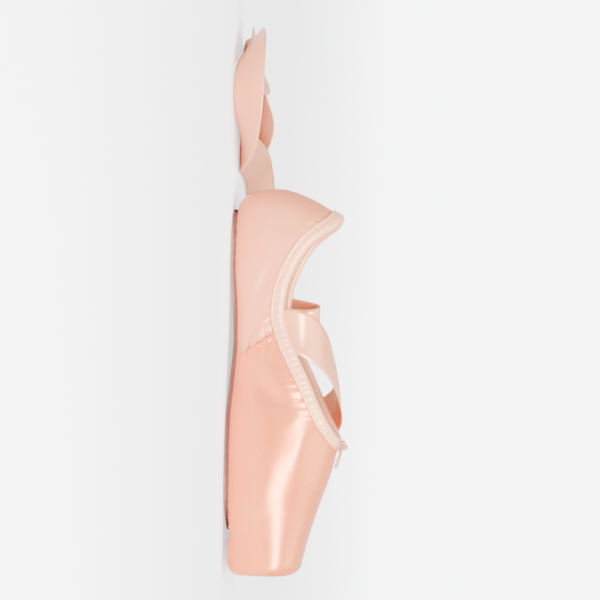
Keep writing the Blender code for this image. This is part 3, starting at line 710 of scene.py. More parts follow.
def wrapped_knot():
    """The knot: a small cushion whose ridges are the turns of cord round it."""
    turns = np.linspace(0, 2 * math.pi, KNOT_SIDES + 1)
    rises = np.linspace(-math.pi / 2, math.pi / 2, KNOT_ROWS + 1)
    rise, turn = np.meshgrid(rises, turns)
    ridge = 1 + KNOT_RIDGE * np.sin(KNOT_WRAPS * rise + KNOT_SLANT * np.sin(turn)) - KNOT_SUNK
    x = KNOT_LONG / 2 * np.cos(rise) * np.cos(turn) * ridge
    y = KNOT_WIDE / 2 * np.sin(rise) * ridge
    z = KNOT_HIGH / 2 * np.cos(rise) * np.sin(turn) * ridge
    grid = np.stack([x, y, z], axis=-1) + np.array(inside_knot)
    return cloth("drawstring_wrap", [(grid, lengths(grid), False, 0)], ["drawstring_knot"])


knot = wrapped_knot()

# %% [markdown]
# The satin upper
#
# The upper is satin over stiffened canvas, pulled over the last and gathered under it. Two
# quarters meet the vamp at a slanting side seam. The surface is drawn from the last's sections,
# one rib after another, and then moved in and out along its own normals: a trough here and a
# ridge there, each placed in the shoe's own sizes, as a sculptor would press them.
# A cloth simulation would lose the stiff box, so modelling by displacement suits it better.

# %% Ribs of the upper
LEVELS = np.linspace(-2, 1, 721)
HEEL_RIBS = 36
QUARTER_RIBS = 50
SEAM_CROWDING = 1.3
THROAT_RIBS = 64
VAMP_RIBS = 58
EDGE_RIBS = 9
CAP_RIBS = 12
FLOOR_ROWS = 14
FEATHER_ROWS = 18
WALL_ROWS = 44
SIDE_LEVEL = -0.25
COVER_FROM = -0.7
COVER_FULL = -0.2
THROAT_CROWDING = 1.8
THROAT_FOOT = vamp(0.07)


def rib(foot, top, turn=math.pi / 2, proud=0.0):
    """Evenly spaced points of one rib, from the turned-in margin to the collar or the crown.

    Its foot is its place at the sole and its top the one at the collar: beside the slanting seam
    the two differ. In the heel, turn is the rib's angle from the back.
    """
    _, z = section(foot, LEVELS)
    rim = smooth(COLLAR, top)
    climb = (z - underside(foot)) / (rim - underside(foot))
    place = foot + (top - foot) * np.clip(climb, 0, None)
    y, z = section(place, LEVELS)
    cover = ease(COVER_FROM, COVER_FULL, LEVELS) * np.cos(LEVELS * math.pi / 2).clip(0)
    y = y + (proud - SEAM_STEP) * cover
    if turn < math.pi / 2:
        nominal = X_FAN - (X_FAN - X_HEEL) * math.cos(turn)
        y, z = section(X_FAN, LEVELS)
        place, y, z = fan(turn, y, z)
        above = z - smooth(COLLAR, nominal)
    else:
        above = z - smooth(COLLAR, place)
    points = np.stack([place, y, z], axis=1)
    run = run_of(points)
    past = np.nonzero((above > 0) & (LEVELS > -1))[0]
    rise = run[-1]
    if len(past):
        i = past[0]
        share = -above[i - 1] / (above[i] - above[i - 1])
        rise = run[i - 1] + share * (run[i] - run[i - 1])
    opening = smooth(SOLE_HALF, foot) - LASTING_MARGIN
    reach = np.clip((foot - X_OPENING_END + OPENING_ROUND) / OPENING_ROUND, 0, 1)
    opening = opening * math.sqrt(1 - reach * reach)
    inner = opening / (half_width(foot) - FEATHER_ROUND) - 2
    start, flat, middle = np.interp([inner, -1, SIDE_LEVEL], LEVELS, run)
    wanted = np.concatenate([
        np.linspace(start, flat, FLOOR_ROWS, endpoint=False),
        np.linspace(flat, middle, FEATHER_ROWS, endpoint=False),
        np.linspace(middle, rise, WALL_ROWS + 1),
    ])
    return along_line(points, wanted)


# %% Set the ribs along the last
def all_ribs():
    """Half of the upper as a grid of points, with the number of its first rib on the vamp panel."""
    ribs = [rib(X_FAN, X_FAN, i / HEEL_RIBS * math.pi / 2, SEAM_STEP) for i in range(HEEL_RIBS)]
    for i in range(QUARTER_RIBS + 1):
        share = 1 - (1 - i / QUARTER_RIBS) ** SEAM_CROWDING
        foot = X_FAN + (SEAM_AT_SOLE - X_FAN) * share
        ribs.append(rib(foot, X_FAN + (SEAM_AT_COLLAR - X_FAN) * share, proud=SEAM_STEP * (1 - share)))
    panel = len(ribs)
    first_foot, first_top = SEAM_AT_SOLE + SEAM_WIDTH, SEAM_AT_COLLAR + SEAM_WIDTH
    for i in range(THROAT_RIBS + 1):
        share = i / THROAT_RIBS
        foot = first_foot + (THROAT_FOOT - first_foot) * share
        top = first_top + (X_THROAT - first_top) * (1 - (1 - share) ** THROAT_CROWDING)
        ribs.append(rib(foot, top, proud=SEAM_STEP))
    for i in range(1, VAMP_RIBS + 1):
        share = i / VAMP_RIBS
        foot = THROAT_FOOT + (X_EDGE - THROAT_FOOT) * share
        ribs.append(rib(foot, X_THROAT + (X_EDGE - X_THROAT) * share, proud=SEAM_STEP))
    for i in range(1, EDGE_RIBS + 1):
        place = X_EDGE + EDGE_DEPTH * math.sin(i / EDGE_RIBS * math.pi / 2)
        ribs.append(rib(place, place, proud=SEAM_STEP))
    cap = ribs[-1]
    for i in range(1, CAP_RIBS + 1):
        share = 1 - i / CAP_RIBS
        inner = cap.copy()
        inner[:, 1] *= share
        ribs.append(inner)
    print("ribs", len(ribs), "rows", len(cap))
    return np.array(ribs), panel


half_upper, first_vamp_rib = all_ribs()

# %% [markdown]
# Creases of the upper
#
# Each row of the table is one soft trough or ridge, seen from the side: where it starts and ends,
# how wide it is and how far it moves the satin. Gathers follow the sole's edge, fine puckers pull
# at both ends of the side seam and below the drawn binding, and deep pleats fan out under the toe.

# %% Creases, listed one by one
# Columns: side (-1 near, 1 far, 0 both), x and z of the start, x and z of the end, width, height.
# A row for both sides is shifted a little on each, so that the shoe isn't a mirror image of itself.
CREASES = (
    (0, quarter(0.02), 0.62 * HEEL_HEIGHT, quarter(0.34), 0.50 * WAIST_HEIGHT, 0.0042, -0.0011),
    (0, quarter(0.04), 0.46 * HEEL_HEIGHT, quarter(0.38), 0.30 * WAIST_HEIGHT, 0.0052, 0.0013),
    (-1, quarter(0.10), 0.30 * HEEL_HEIGHT, quarter(0.50), 0.24 * WAIST_HEIGHT, 0.0038, -0.0010),
    (1, quarter(0.12), 0.26 * HEEL_HEIGHT, quarter(0.46), 0.36 * WAIST_HEIGHT, 0.0040, -0.0010),
    (0, quarter(0.30), 0.86 * WAIST_HEIGHT, quarter(0.56), 0.30 * WAIST_HEIGHT, 0.0034, -0.0008),
    (0, quarter(0.36), 0.62 * WAIST_HEIGHT, quarter(0.58), 0.22 * WAIST_HEIGHT, 0.0030, 0.0008),
    (-1, quarter(0.60), 0.30 * INSTEP_HEIGHT, quarter(0.80), 0.66 * INSTEP_HEIGHT, 0.0050, -0.0010),
    (-1, quarter(0.68), 0.24 * INSTEP_HEIGHT, quarter(0.90), 0.62 * INSTEP_HEIGHT, 0.0060, 0.0010),
    (1, quarter(0.62), 0.26 * INSTEP_HEIGHT, quarter(0.84), 0.68 * INSTEP_HEIGHT, 0.0055, -0.0010),
    (0, quarter(0.92), 0.74 * INSTEP_HEIGHT, vamp(0.26), 0.90 * TOE_HEIGHT, 0.0046, -0.0006),
    (-1, vamp(0.10), 0.42 * INSTEP_HEIGHT, vamp(0.62), 0.42 * TOE_HEIGHT, 0.0080, -0.0006),
    (1, vamp(0.14), 0.46 * INSTEP_HEIGHT, vamp(0.58), 0.46 * TOE_HEIGHT, 0.0080, -0.0006),
    (0, heel(0.30), 0.80 * HEEL_HEIGHT, heel(0.95), 0.62 * HEEL_HEIGHT, 0.0040, -0.0008),
    (0, heel(0.22), 0.30 * HEEL_HEIGHT, heel(0.85), 0.24 * HEEL_HEIGHT, 0.0044, 0.0008),
)
FAR_SHIFT = 0.03


def trough(grid, row, side):
    """How far one row of CREASES moves each point."""
    which, x0, z0, x1, z1, width, height = row
    if which not in (0, side):
        return 0
    shift = FAR_SHIFT * (x1 - x0) * side * (which == 0)
    start, end = np.array([x0 + shift, z0]), np.array([x1 - shift, z1])
    offset = grid[..., [0, 2]] - start
    line = end - start
    share = np.clip(offset @ line / (line @ line), 0, 1)
    away = np.linalg.norm(offset - share[..., None] * line, axis=-1)
    return height * bump(away, 0, width) * np.sin(math.pi * share)


# %% Puckers at the side seam
PUCKER_WAVE = 0.0050
PUCKER_HEIGHT = 0.00050
PUCKER_REACH = 0.0055
PUCKER_SLANT = 0.15
PUCKER_MIDDLE = 0.35
PUCKER_FADE = 6
GROOVE_DEPTH = 0.00070
GROOVE_WIDTH = 0.0012
GROOVE_AHEAD = 0.0004

# Both ends of the seam pull harder. Columns: how far up the seam, and reach, as shares of it.
SEAM_ENDS = ((0.05, 0.28), (0.98, 0.22))


def seam_offset(grid):
    """How far in front of the side seam each point is, and how far up the seam from 0 to 1."""
    low, high = underside(SEAM_AT_SOLE), smooth(COLLAR, SEAM_AT_COLLAR)
    climb = (grid[..., 2] - low) / (high - low)
    line = SEAM_AT_SOLE + (SEAM_AT_COLLAR - SEAM_AT_SOLE) * np.clip(climb, 0, 1)
    return grid[..., 0] - line, climb


def seam_puckers(grid, seed):
    """Fine puckers beside the side seam, and the groove that the seam lies in."""
    ahead, climb = seam_offset(grid)
    pull = PUCKER_MIDDLE + sum(bump(climb, place, reach) for place, reach in SEAM_ENDS)
    wave = ripple(grid[..., 2] + PUCKER_SLANT * ahead, PUCKER_WAVE, seed)
    pucker = PUCKER_HEIGHT * wave * np.exp(-np.abs(ahead) / PUCKER_REACH) * pull
    groove = GROOVE_DEPTH * bump(ahead, GROOVE_AHEAD, GROOVE_WIDTH)
    return (pucker - groove) * np.clip(climb * PUCKER_FADE, 0, 1)


# %% Gathers at the collar and along the sole
BINDING_DROP = 0.0064
GATHER_WAVE = 0.0058
GATHER_HEIGHT = 0.00024
GATHER_REACH = 0.0055
RIM_OPEN = X_THROAT - 0.004
RIM_CLOSED = X_THROAT + 0.006
EDGE_WAVE = 0.0056
EDGE_HEIGHT = 0.00022
EDGE_UP = 0.001
EDGE_REACH = 0.0045
EDGE_MIDDLE = 0.2

# The sole's edge gathers most round the heel and at its tip. Columns: place, reach, share.
EDGE_ENDS = ((X_HEEL + 0.012, 0.030, 1.0), (X_TIP, 0.025, 0.8))


def rim_gathers(grid, below, seed):
    """Small gathers just under the drawn binding."""
    wave = ripple(run_of(grid[:, -1])[:, None], GATHER_WAVE, seed)
    return GATHER_HEIGHT * wave * bump(below, BINDING_DROP, GATHER_REACH)


def edge_gathers(grid, from_edge, seed):
    """Gathers where the satin turns in under the sole's edge."""
    pull = EDGE_MIDDLE + sum(share * bump(grid[..., 0], place, reach) for place, reach, share in EDGE_ENDS)
    wave = ripple(run_of(grid[:, FLOOR_ROWS])[:, None], EDGE_WAVE, seed)
    return EDGE_HEIGHT * wave * bump(from_edge, EDGE_UP, EDGE_REACH) * pull


# %% Pleats under the toe
PLEATS = 13
PLEAT_HEIGHT = 0.0007
PLEAT_CENTRE = X_TIP - 0.016
PLEAT_SHARP = 0.7
PLEAT_REST = 0.25
PLEAT_WANDER = 0.5
PLEATS_FROM = X_TIP - 0.004
PLEATS_FULL = X_TIP + 0.005
PLEATS_END = X_TOE - 0.0005
PLEAT_UP = 0.009
PLEAT_UP_FULL = 0.004
PLEAT_TOP = 0.0155
PLEAT_TOP_FULL = 0.007


def toe_pleats(grid, from_edge, seed):
    """Deep pleats that fan out in front of the sole's tip."""
    x, y, z = grid[..., 0], grid[..., 1], grid[..., 2]
    angle = np.arctan2(y, x - PLEAT_CENTRE)
    turn = PLEATS * angle + PLEAT_WANDER * np.sin(3 * angle + seed)
    fold = 1 - np.abs(np.sin(turn)) ** PLEAT_SHARP
    front = ease(PLEATS_FROM, PLEATS_FULL, x) * ease(PLEATS_END, X_EDGE, x)
    low = ease(PLEAT_UP, PLEAT_UP_FULL, from_edge) * ease(PLEAT_TOP, PLEAT_TOP_FULL, z)
    return PLEAT_HEIGHT * (PLEAT_REST - fold) * front * low


# %% Press all the creases into the satin
SLOW_LONG = 0.0083
SLOW_HIGH = 0.0071
SLOW_HEIGHT = 0.00010
SLOW_FROM = 0.003
SLOW_FULL = 0.012
HEEL_STILL = -0.001
HEEL_FREE = 0.006
CROWN_FREE = 0.008
CROWN_ABOVE = 0.02
CAP_STILL = 2
CAP_CROWN = 0.0004


def slow_wave(grid, seed):
    """A long low wave: stretched satin is never quite even."""
    wave = np.sin(grid[..., 0] / SLOW_LONG + seed) * np.sin(grid[..., 2] / SLOW_HIGH + 2 * seed)
    return SLOW_HEIGHT * wave * ease(SLOW_FROM, SLOW_FULL, np.abs(grid[..., 1]))


def freedom(grid, below, open_rim):
    """How far each point may move, 0 to 1: not on the middle line, at the rim or on the platform."""
    back = np.arange(len(grid))[:, None] < HEEL_RIBS // 2
    calm = np.where(back, ease(HEEL_STILL, HEEL_FREE, grid[..., 1]), 1)
    crown_line = np.where(grid[..., 2] > CROWN_ABOVE, calm * ease(0.0, CROWN_FREE, grid[..., 1]), 1)
    rim = ease(0.0, BINDING_DROP, below) * open_rim + (1 - open_rim)
    cap = (np.arange(len(grid)) < len(grid) - CAP_RIBS - CAP_STILL)[:, None]
    return crown_line * rim * cap


def creased(half, side):
    """The half upper with all its creases, on one side of the shoe."""
    seed = 0.7 if side < 0 else 2.9
    across = lengths(half)[..., 1]
    below = across[:, -1:] - across
    from_edge = across - across[:, FLOOR_ROWS : FLOOR_ROWS + 1]
    open_rim = ease(RIM_CLOSED, RIM_OPEN, half[:, -1, 0])[:, None]
    move = sum(trough(half, row, side) for row in CREASES)
    move = move + seam_puckers(half, seed)
    move = move + rim_gathers(half, below, seed + 1) * open_rim
    move = move + edge_gathers(half, from_edge, seed + 2)
    move = move + toe_pleats(half, from_edge, seed)
    move = move + slow_wave(half, seed)
    grid = half + faces_of(half) * (move * freedom(half, below, open_rim))[..., None]
    share = np.arange(1, CAP_RIBS + 1) / CAP_RIBS
    rise = np.sin(np.linspace(0, math.pi, grid.shape[1]))
    grid[-CAP_RIBS:, :, 0] += CAP_CROWN * (1 - (1 - share) ** 2)[:, None] * rise
    grid[..., 1] = np.maximum(grid[..., 1], 0) * side
    return grid


# %% Build the upper
ON_MIDDLE = 0.000002
STIFF_FROM = 0.012
STIFF_TO = 0.040


def build_upper():
    """The upper's two halves in one mesh. Its wall thickens from the quarters to the stiff box."""
    grids = []
    panels = np.arange(len(half_upper) - 1) >= first_vamp_rib - 1
    for side in (-1, 1):
        grid = creased(half_upper, side)
        on_axis = np.abs(half_upper[..., 1]) < ON_MIDDLE
        grid[on_axis, 1] = 0
        grids.append((grid, lengths(half_upper), side > 0, panels[:, None].astype(int)))
    piece = cloth("upper_satin", grids, ["upper"])
    group = piece.vertex_groups.new(name="wall")
    places = np.array([vertex.co.x for vertex in piece.data.vertices])
    stiff = ease(X_THROAT + STIFF_FROM, X_THROAT + STIFF_TO, places)
    walls = (QUARTER_WALL + (BOX_WALL - QUARTER_WALL) * stiff) / BOX_WALL
    for vertex, wall in enumerate(walls):
        group.add([vertex], float(wall), "REPLACE")
    shell = piece.modifiers.new("Wall", "SOLIDIFY")
    shell.thickness = BOX_WALL
    shell.offset = -1
    shell.vertex_group = "wall"
    shell.material_offset = 2
    return piece


upper = build_upper()
print("upper faces:", len(upper.data.polygons))

# %% [markdown]
# The side seams
#
# The quarter's folded edge laps over the vamp in a narrow welt on each side. Its satin is darker
# than the satin beside it: that is painted shade, for the shadow that lies along the seam. It
# follows the last rib of the quarter, so it bends with the creases.

# %% Build the side seams
SEAM_FIRST_ROW = FLOOR_ROWS + 8

# The welt's profile. Columns: how far ahead of the seam, and how far out of the satin.
WELT = ((-0.0006, 0.00002), (-0.0003, 0.00026), (0.0000, 0.00036), (0.0003, 0.00026), (0.0005, -0.0003))


def build_seams():
    """A narrow welt up each side seam."""
    grids = []
    for side in (-1, 1):
        line = creased(half_upper, side)[first_vamp_rib - 1, SEAM_FIRST_ROW:]
        out = faces_of(half_upper)[first_vamp_rib - 1, SEAM_FIRST_ROW:] * (1, side, 1)
        ahead = np.cross(np.gradient(line, axis=0), out)
        ahead = ahead / np.linalg.norm(ahead, axis=1)[:, None] * np.sign(ahead[:, :1])
        strip = np.stack([line + ahead * across + out * lift for across, lift in WELT])
        grids.append((strip, lengths(strip), side > 0, 0))
    return cloth("side_seams", grids, weld=False)


side_seams = build_seams()

# %% [markdown]
# The binding
#
# A folded satin tape covers the collar's raw edge and holds the drawstring. It has to touch the
# last exactly, so each row of its profile is placed by stepping to the last's surface: `outside`
# says how far out a point is, and a few Newton steps along its slope bring the point onto it.
# The tape bulges over the cord at its top and dips at its row of stitches.

# %% Where the last's surface is
NEWTON_STEPS = 6
SIDE_POINTS = 600
BACK_POINTS = 300


def outside(point):
    """How far points above the widest level are outside the last: 0 on its surface."""
    x, y, z = point[..., 0], point[..., 1], point[..., 2]
    place = np.maximum(x, X_FAN)
    widest, square = smooth(WIDEST, place), smooth(SQUARENESS, place)
    high = np.maximum(z - widest, 0) / (crown(place) - widest)
    side = (np.abs(y) / half_width(place)) ** square + high**square - 1
    half = half_width(X_FAN) * np.clip(1 - high**2, 1e-6, None) ** 0.5
    climb = np.maximum(z - widest, 0) / (HEEL_HEIGHT - widest)
    back = X_HEEL + HEEL_LEAN * climb**HEEL_LEAN_POWER
    round_back = ((X_FAN - x) / (X_FAN - back)) ** 2 + (y / half) ** 2 - 1
    return np.where(x >= X_FAN, side, round_back)


def slope(point):
    """Which way, and how fast, a point leaves the last."""
    step = GAP / 3
    moves = np.eye(3) * step
    return np.stack([(outside(point + move) - outside(point - move)) / (2 * step) for move in moves], axis=-1)


def touch(point):
    """The nearest places on the last's surface, and the way that it looks there."""
    for _ in range(NEWTON_STEPS):
        rise = slope(point)
        point = point - outside(point)[..., None] * rise / (rise * rise).sum(axis=-1, keepdims=True)
    rise = slope(point)
    return point, rise / np.linalg.norm(rise, axis=-1, keepdims=True)


def collar_line(steps):
    """Even steps along one side of the collar's edge, from the throat to the back of the heel."""
    place = X_THROAT + (X_FAN - X_THROAT) * np.linspace(0, 1, SIDE_POINTS) ** 2
    height = np.minimum(smooth(COLLAR, place), crown(place))
    side = np.stack([place, wall_at(place, height), height], axis=1)
    turn = np.linspace(math.pi / 2, 0, BACK_POINTS)[1:]
    height = smooth(COLLAR, X_FAN - (X_FAN - X_HEEL) * np.cos(turn))
    back = np.stack(fan(turn, wall_at(X_FAN, height), height), axis=1)
    line = np.vstack([side, back])
    return along_line(line, np.linspace(0, run_of(line)[-1], steps + 1))


# %% Profile of the binding
BINDING_STEPS = 420
BINDING_TOP = 0.0006
BINDING_BULGE = 0.00045
BINDING_GATHER = 0.00022
BINDING_DEEP = SEAM_STEP + QUARTER_WALL + BINDING_GAP
INNER_GATHER = BINDING_GATHER / 2
INNER_ROWS = 8
GATHER_STEP = 0.0037
GATHER_END = 0.006
STITCH_ROW = 0.0046
STITCH_DIP = 0.00020
STITCH_GROOVE = 0.0005

# The tape's outer face. Columns: share of the drop below the collar's edge, how far out as a
# share of the tape's thickness, share of the cord's bulge.
OUTER_PROFILE = (
    (1.00, 0.0, 0.0), (1.00, 0.8, 0.0), (0.97, 1.0, 0.0), (0.86, 1.0, 0.0), (0.78, 1.0, 0.0),
    (0.72, 1.0, 0.0), (0.66, 1.0, 0.1), (0.54, 1.0, 0.5), (0.42, 1.0, 0.9), (0.30, 1.0, 1.0),
    (0.18, 1.0, 0.8), (0.07, 1.0, 0.3), (0.00, 1.0, 0.0),
)
# The fold over the collar's edge. Columns: how far out, how far up, how much it ripples.
FOLD_PROFILE = (
    (0.60 * BINDING_GAP, -0.00012, 0.0),
    (-0.35 * BINDING_DEEP, 0.0, 0.00016),
    (-0.90 * BINDING_DEEP, -0.00012, 0.0),
)

collar_edge = collar_line(BINDING_STEPS)
collar_run = run_of(collar_edge)
collar_ahead = np.gradient(collar_edge, axis=0)
collar_ahead[0], collar_ahead[-1] = (0, 1, 0), (0, -1, 0)
_, collar_face = touch(collar_edge)
collar_up = np.cross(collar_face, collar_ahead / np.linalg.norm(collar_ahead, axis=1)[:, None])
collar_up /= np.linalg.norm(collar_up, axis=1)[:, None]
print("collar's half line", round(float(collar_run[-1]), 4), "m")


# %% Sweep the binding
def binding_half(side, seed):
    """Half of the tape as a grid, from its outer hem over the collar's edge to its inner hem."""
    ends = ease(0.0, GATHER_END, collar_run) * ease(collar_run[-1], collar_run[-1] - GATHER_END, collar_run)
    wave = ripple(collar_run, GATHER_STEP, seed) * ends
    columns = []
    for drop, out, bulge in OUTER_PROFILE:
        place, looks = touch(collar_edge - collar_up * BINDING_DROP * drop)
        dip = STITCH_DIP * bump(drop * BINDING_DROP, STITCH_ROW, STITCH_GROOVE)
        lift = BINDING_GAP + BINDING_CLOTH * out + BINDING_BULGE * bulge - dip
        gather = BINDING_GATHER * wave * math.sin(math.pi * drop) * out
        columns.append(place + looks * (lift + gather)[:, None])
    crest = collar_edge + collar_up * (BINDING_TOP + BINDING_CLOTH)
    for out, up, ruffle in FOLD_PROFILE:
        columns.append(crest + collar_face * out + collar_up * (up + ruffle * wave)[:, None])
    for drop in np.linspace(0, 1, INNER_ROWS + 1):
        place, looks = touch(collar_edge - collar_up * BINDING_DROP * drop)
        inner = BINDING_DEEP + BINDING_CLOTH + INNER_GATHER * wave * math.sin(math.pi * drop)
        columns.append(place - looks * inner[:, None])
    columns.append(place - looks * BINDING_DEEP)
    grid = np.stack(columns, axis=1)
    grid[[0, -1], :, 1] = 0
    grid[..., 1] *= side
    return grid


def stitch_line(side):
    """The line that the binding's stitches follow on one side, and the way that it looks."""
    place, looks = touch(collar_edge - collar_up * STITCH_ROW)
    stitch = place + looks * (BINDING_GAP + BINDING_CLOTH - STITCH_DIP / 2)
    return stitch * (1, side, 1), looks * (1, side, 1)


halves = [binding_half(-1, 1.1), binding_half(1, 3.7)]
tape_grids = [(grid, lengths(grid), flip, 0) for grid, flip in zip(halves, (False, True))]
binding = cloth("binding_tape", tape_grids, ["binding"])
stitch_lines = [stitch_line(-1), stitch_line(1)]
print("binding faces:", len(binding.data.polygons))

# %% [markdown]
# Stitches
#
# One row of small stitches holds the binding down, and short rows hold each ribbon inside its
# quarter. Every stitch is a short rounded bar that sinks at both ends. They are made in a loop
# along a line, all in one mesh, so the real spacing is one named number.

# %% Sew the stitches
STITCH_LONG = 0.0017
STITCH_PITCH = 0.0026
STITCH_ARCH = 0.7
STITCH_SUNK = 0.15
STITCH_LOOK = 0.0004
THREAD = 0.00032
THREAD_SIDES = 6
SEWN_ROWS = (2, 9)

# A stitch along its length. Columns: place and thickness, as shares of its own.
STITCH_PROFILE = ((-0.50, 0.35), (-0.42, 1.0), (0.0, 1.0), (0.42, 1.0), (0.50, 0.35))


def at_length(points, run, wanted):
    """The point of a line at one wanted length."""
    return np.array([np.interp(wanted, run, points[:, axis]) for axis in range(3)])


def stitch_ring(points, looks, run, at, share, thick):
    """One ring of points round a stitch."""
    centre, face = at_length(points, run, at), at_length(looks, run, at)
    ahead = at_length(points, run, at + STITCH_LOOK) - centre
    across = np.cross(face, ahead / np.linalg.norm(ahead))
    arch = THREAD * (STITCH_ARCH * (1 - 4 * share * share) - STITCH_SUNK)
    turns = np.arange(THREAD_SIDES + 1) / THREAD_SIDES * 2 * math.pi
    circle = np.cos(turns)[:, None] * across + np.sin(turns)[:, None] * face
    return centre + face * arch + THREAD / 2 * thick * circle


def stitch_bars(name, lines):
    """Small bars along each line of (points, outward faces), in one mesh."""
    bars = []
    for points, looks in lines:
        run = run_of(points)
        for middle in np.arange(STITCH_PITCH, run[-1] - STITCH_PITCH / 2, STITCH_PITCH):
            rings = [
                stitch_ring(points, looks, run, middle + share * STITCH_LONG, share, thick)
                for share, thick in STITCH_PROFILE
            ]
            first, last = (ring * 0 + ring[:-1].mean(axis=0) for ring in (rings[0], rings[-1]))
            grid = np.array([first, *rings, last])
            bars.append((grid, lengths(grid), False, 0))
    print(name, "has", len(bars), "stitches")
    return cloth(name, bars)


binding_stitches = stitch_bars("binding_stitches", stitch_lines)


# %% Sew the ribbons in
def ribbon_stitch_lines(grid, side):
    """Two short rows across the sewn end of a ribbon and one down each of its edges."""
    inward = np.array([0.0, -side, 0.0])
    first, last = SEWN_ROWS
    rows = [grid[first, 1:-1], grid[last, 1:-1], grid[first : last + 1, 1], grid[first : last + 1, -2]]
    return [(row + inward * (RIBBON_THICK / 2), np.broadcast_to(inward, row.shape)) for row in rows]


ribbon_stitches = stitch_bars(
    "ribbon_stitches", ribbon_stitch_lines(near_grid, -1) + ribbon_stitch_lines(far_grid, 1)
)

# %% [markdown]
# The sole and the insole
#
# The outsole is one thin piece of suede-like leather, skived at its edge and set in from the
# satin all round. It follows the arch and ends before the platform. A grid along and across the
# sole's outline gives its underside, a solidify modifier its thickness, and a bevel its edge.

# %% Plates that follow the sole
POLE = 0.02
BACK_ROWS = 22
SIDE_ROWS = 70
TIP_ROWS = 19
BEVEL_STEPS = 3
BEVEL_ANGLE = math.radians(50)
BEVEL_SHAPE = 0.6


def plate_half(half, back, tip, tip_round, height, across):
    """Half of a plate's underside as a grid, from the back round to its tip."""
    rows = []
    shares = np.linspace(0, 1, across + 1)
    for turn in np.linspace(POLE, math.pi / 2, BACK_ROWS, endpoint=False):
        x = X_FAN - (X_FAN - back) * math.cos(turn)
        rows.append((x, half(X_FAN) * math.sin(turn)))
    for x in np.linspace(X_FAN, tip - tip_round, SIDE_ROWS):
        rows.append((x, half(x)))
    for turn in np.linspace(0, math.pi / 2 - POLE, TIP_ROWS + 1)[1:]:
        x = tip - tip_round + tip_round * math.sin(turn)
        rows.append((x, half(x) * math.cos(turn)))
    grid = [[(x, float(width) * share, height(x, share)) for share in shares] for x, width in rows]
    return np.array(grid, dtype=float)


def build_plate(name, node, grid, thick, edge):
    """A plate from half of its underside, with a rounded edge."""
    grids = []
    for side in (-1, 1):
        half = grid * (1, side, 1)
        grids.append((half, half[..., :2], side > 0, 0))
    piece = cloth(name, grids, [node])
    shell = piece.modifiers.new("Thickness", "SOLIDIFY")
    shell.thickness = thick
    shell.offset = -1
    bevel = piece.modifiers.new("Edge", "BEVEL")
    bevel.width = edge
    bevel.segments = BEVEL_STEPS
    bevel.limit_method = "ANGLE"
    bevel.angle_limit = BEVEL_ANGLE
    bevel.profile = BEVEL_SHAPE
    return piece


# %% Cut the outsole
SOLE_EDGE = 0.0009
SOLE_COLUMNS = 14
CUT_WANDER = 0.00022
CUT_WAVES = (0.0041, 0.0173)
SKIVED = 0.0005
SKIVED_POWER = 6


def sole_half(x):
    """Half of the outsole's width: a hand-cut edge wanders a little."""
    short, long = CUT_WAVES
    return smooth(SOLE_HALF, x) + CUT_WANDER * np.sin(x / short) * np.sin(x / long)


def sole_height(x, share):
    """The underside: worn a little thinner towards its skived edge."""
    return smooth(SOLE_LIFT, x) + SKIVED * share**SKIVED_POWER


sole_back = X_HEEL + HEEL_TUCK * (half_width(X_FAN) - smooth(SOLE_HALF, X_FAN))
sole_grid = plate_half(sole_half, sole_back, X_TIP, SOLE_TIP_ROUND, sole_height, SOLE_COLUMNS)
outsole = build_plate("outsole_leather", "outsole", sole_grid, SOLE_THICK, SOLE_EDGE)
print("outsole faces:", len(outsole.data.polygons))

# %% Cut the insole
INSOLE_THICK = 0.0015
INSOLE_EDGE = 0.0004
INSOLE_COLUMNS = 10
INSOLE_TOE_GAP = 0.010
INSOLE_TIP_ROUND = 0.020
INSOLE_STEP = 0.012
INSOLE_RISE = 0.0003
INSOLE_RISE_POWER = 8


def insole_half(x):
    """Half of the insole's width: it reaches to where the satin turns up."""
    return half_width(x) - FEATHER_ROUND


def insole_height(x, share):
    """The underside: on the turned-in margin, which is thicker in the stiff box."""
    stiff = ease(X_THROAT - INSOLE_STEP, X_THROAT + INSOLE_STEP, x)
    margin = QUARTER_WALL + (BOX_WALL - QUARTER_WALL) * stiff
    return seat(x) + margin + GAP + INSOLE_RISE * share**INSOLE_RISE_POWER


insole_back = X_HEEL + HEEL_TUCK * FEATHER_ROUND
insole_grid = plate_half(
    insole_half, insole_back, X_TOE - INSOLE_TOE_GAP, INSOLE_TIP_ROUND, insole_height, INSOLE_COLUMNS
)
insole = build_plate("insole_liner", "insole", insole_grid, INSOLE_THICK, INSOLE_EDGE)
print("insole faces:", len(insole.data.polygons))

# %% [markdown]
# Finishes
#
# Satin is woven so that most threads float on its face in one direction. That gives its gloss
# and its long streaks of light. Three effects are shared by several materials, so each is a
# node group built once: the weave, the wandering tint of dyed cloth, and the rubbing that dulls
# what touches the floor. Each puts out only colours, masks and heights.


# %% Node groups that the finishes share
def new_group(name, inputs, outputs):
    """An empty shader group with named sockets: (name, type, default)."""
    group = bpy.data.node_groups.new(name, "ShaderNodeTree")
    for title, kind, default in inputs:
        socket = group.interface.new_socket(name=title, in_out="INPUT", socket_type=kind)
        if default is not None:
            socket.default_value = default
    for title, kind in outputs:
        group.interface.new_socket(name=title, in_out="OUTPUT", socket_type=kind)
    return group, group.nodes.new("NodeGroupInput"), group.nodes.new("NodeGroupOutput")


def add(tree, kind, **inputs):
    """A node with values or links for its named or numbered inputs, and plain settings."""
    node = tree.nodes.new(kind)
    for key, value in inputs.items():
        if key.startswith("set_"):
            setattr(node, key[4:], value)
    for key, value in inputs.items():
        if key.startswith("set_"):
            continue
        socket = node.inputs[int(key[1:])] if key.startswith("i") and key[1:].isdigit() else node.inputs[key]
        if isinstance(value, bpy.types.NodeSocket):
            tree.links.new(value, socket)
        else:
            socket.default_value = value
    return node


def math_node(tree, operation, a, b=0.0):
    return add(tree, "ShaderNodeMath", set_operation=operation, i0=a, i1=b).outputs[0]


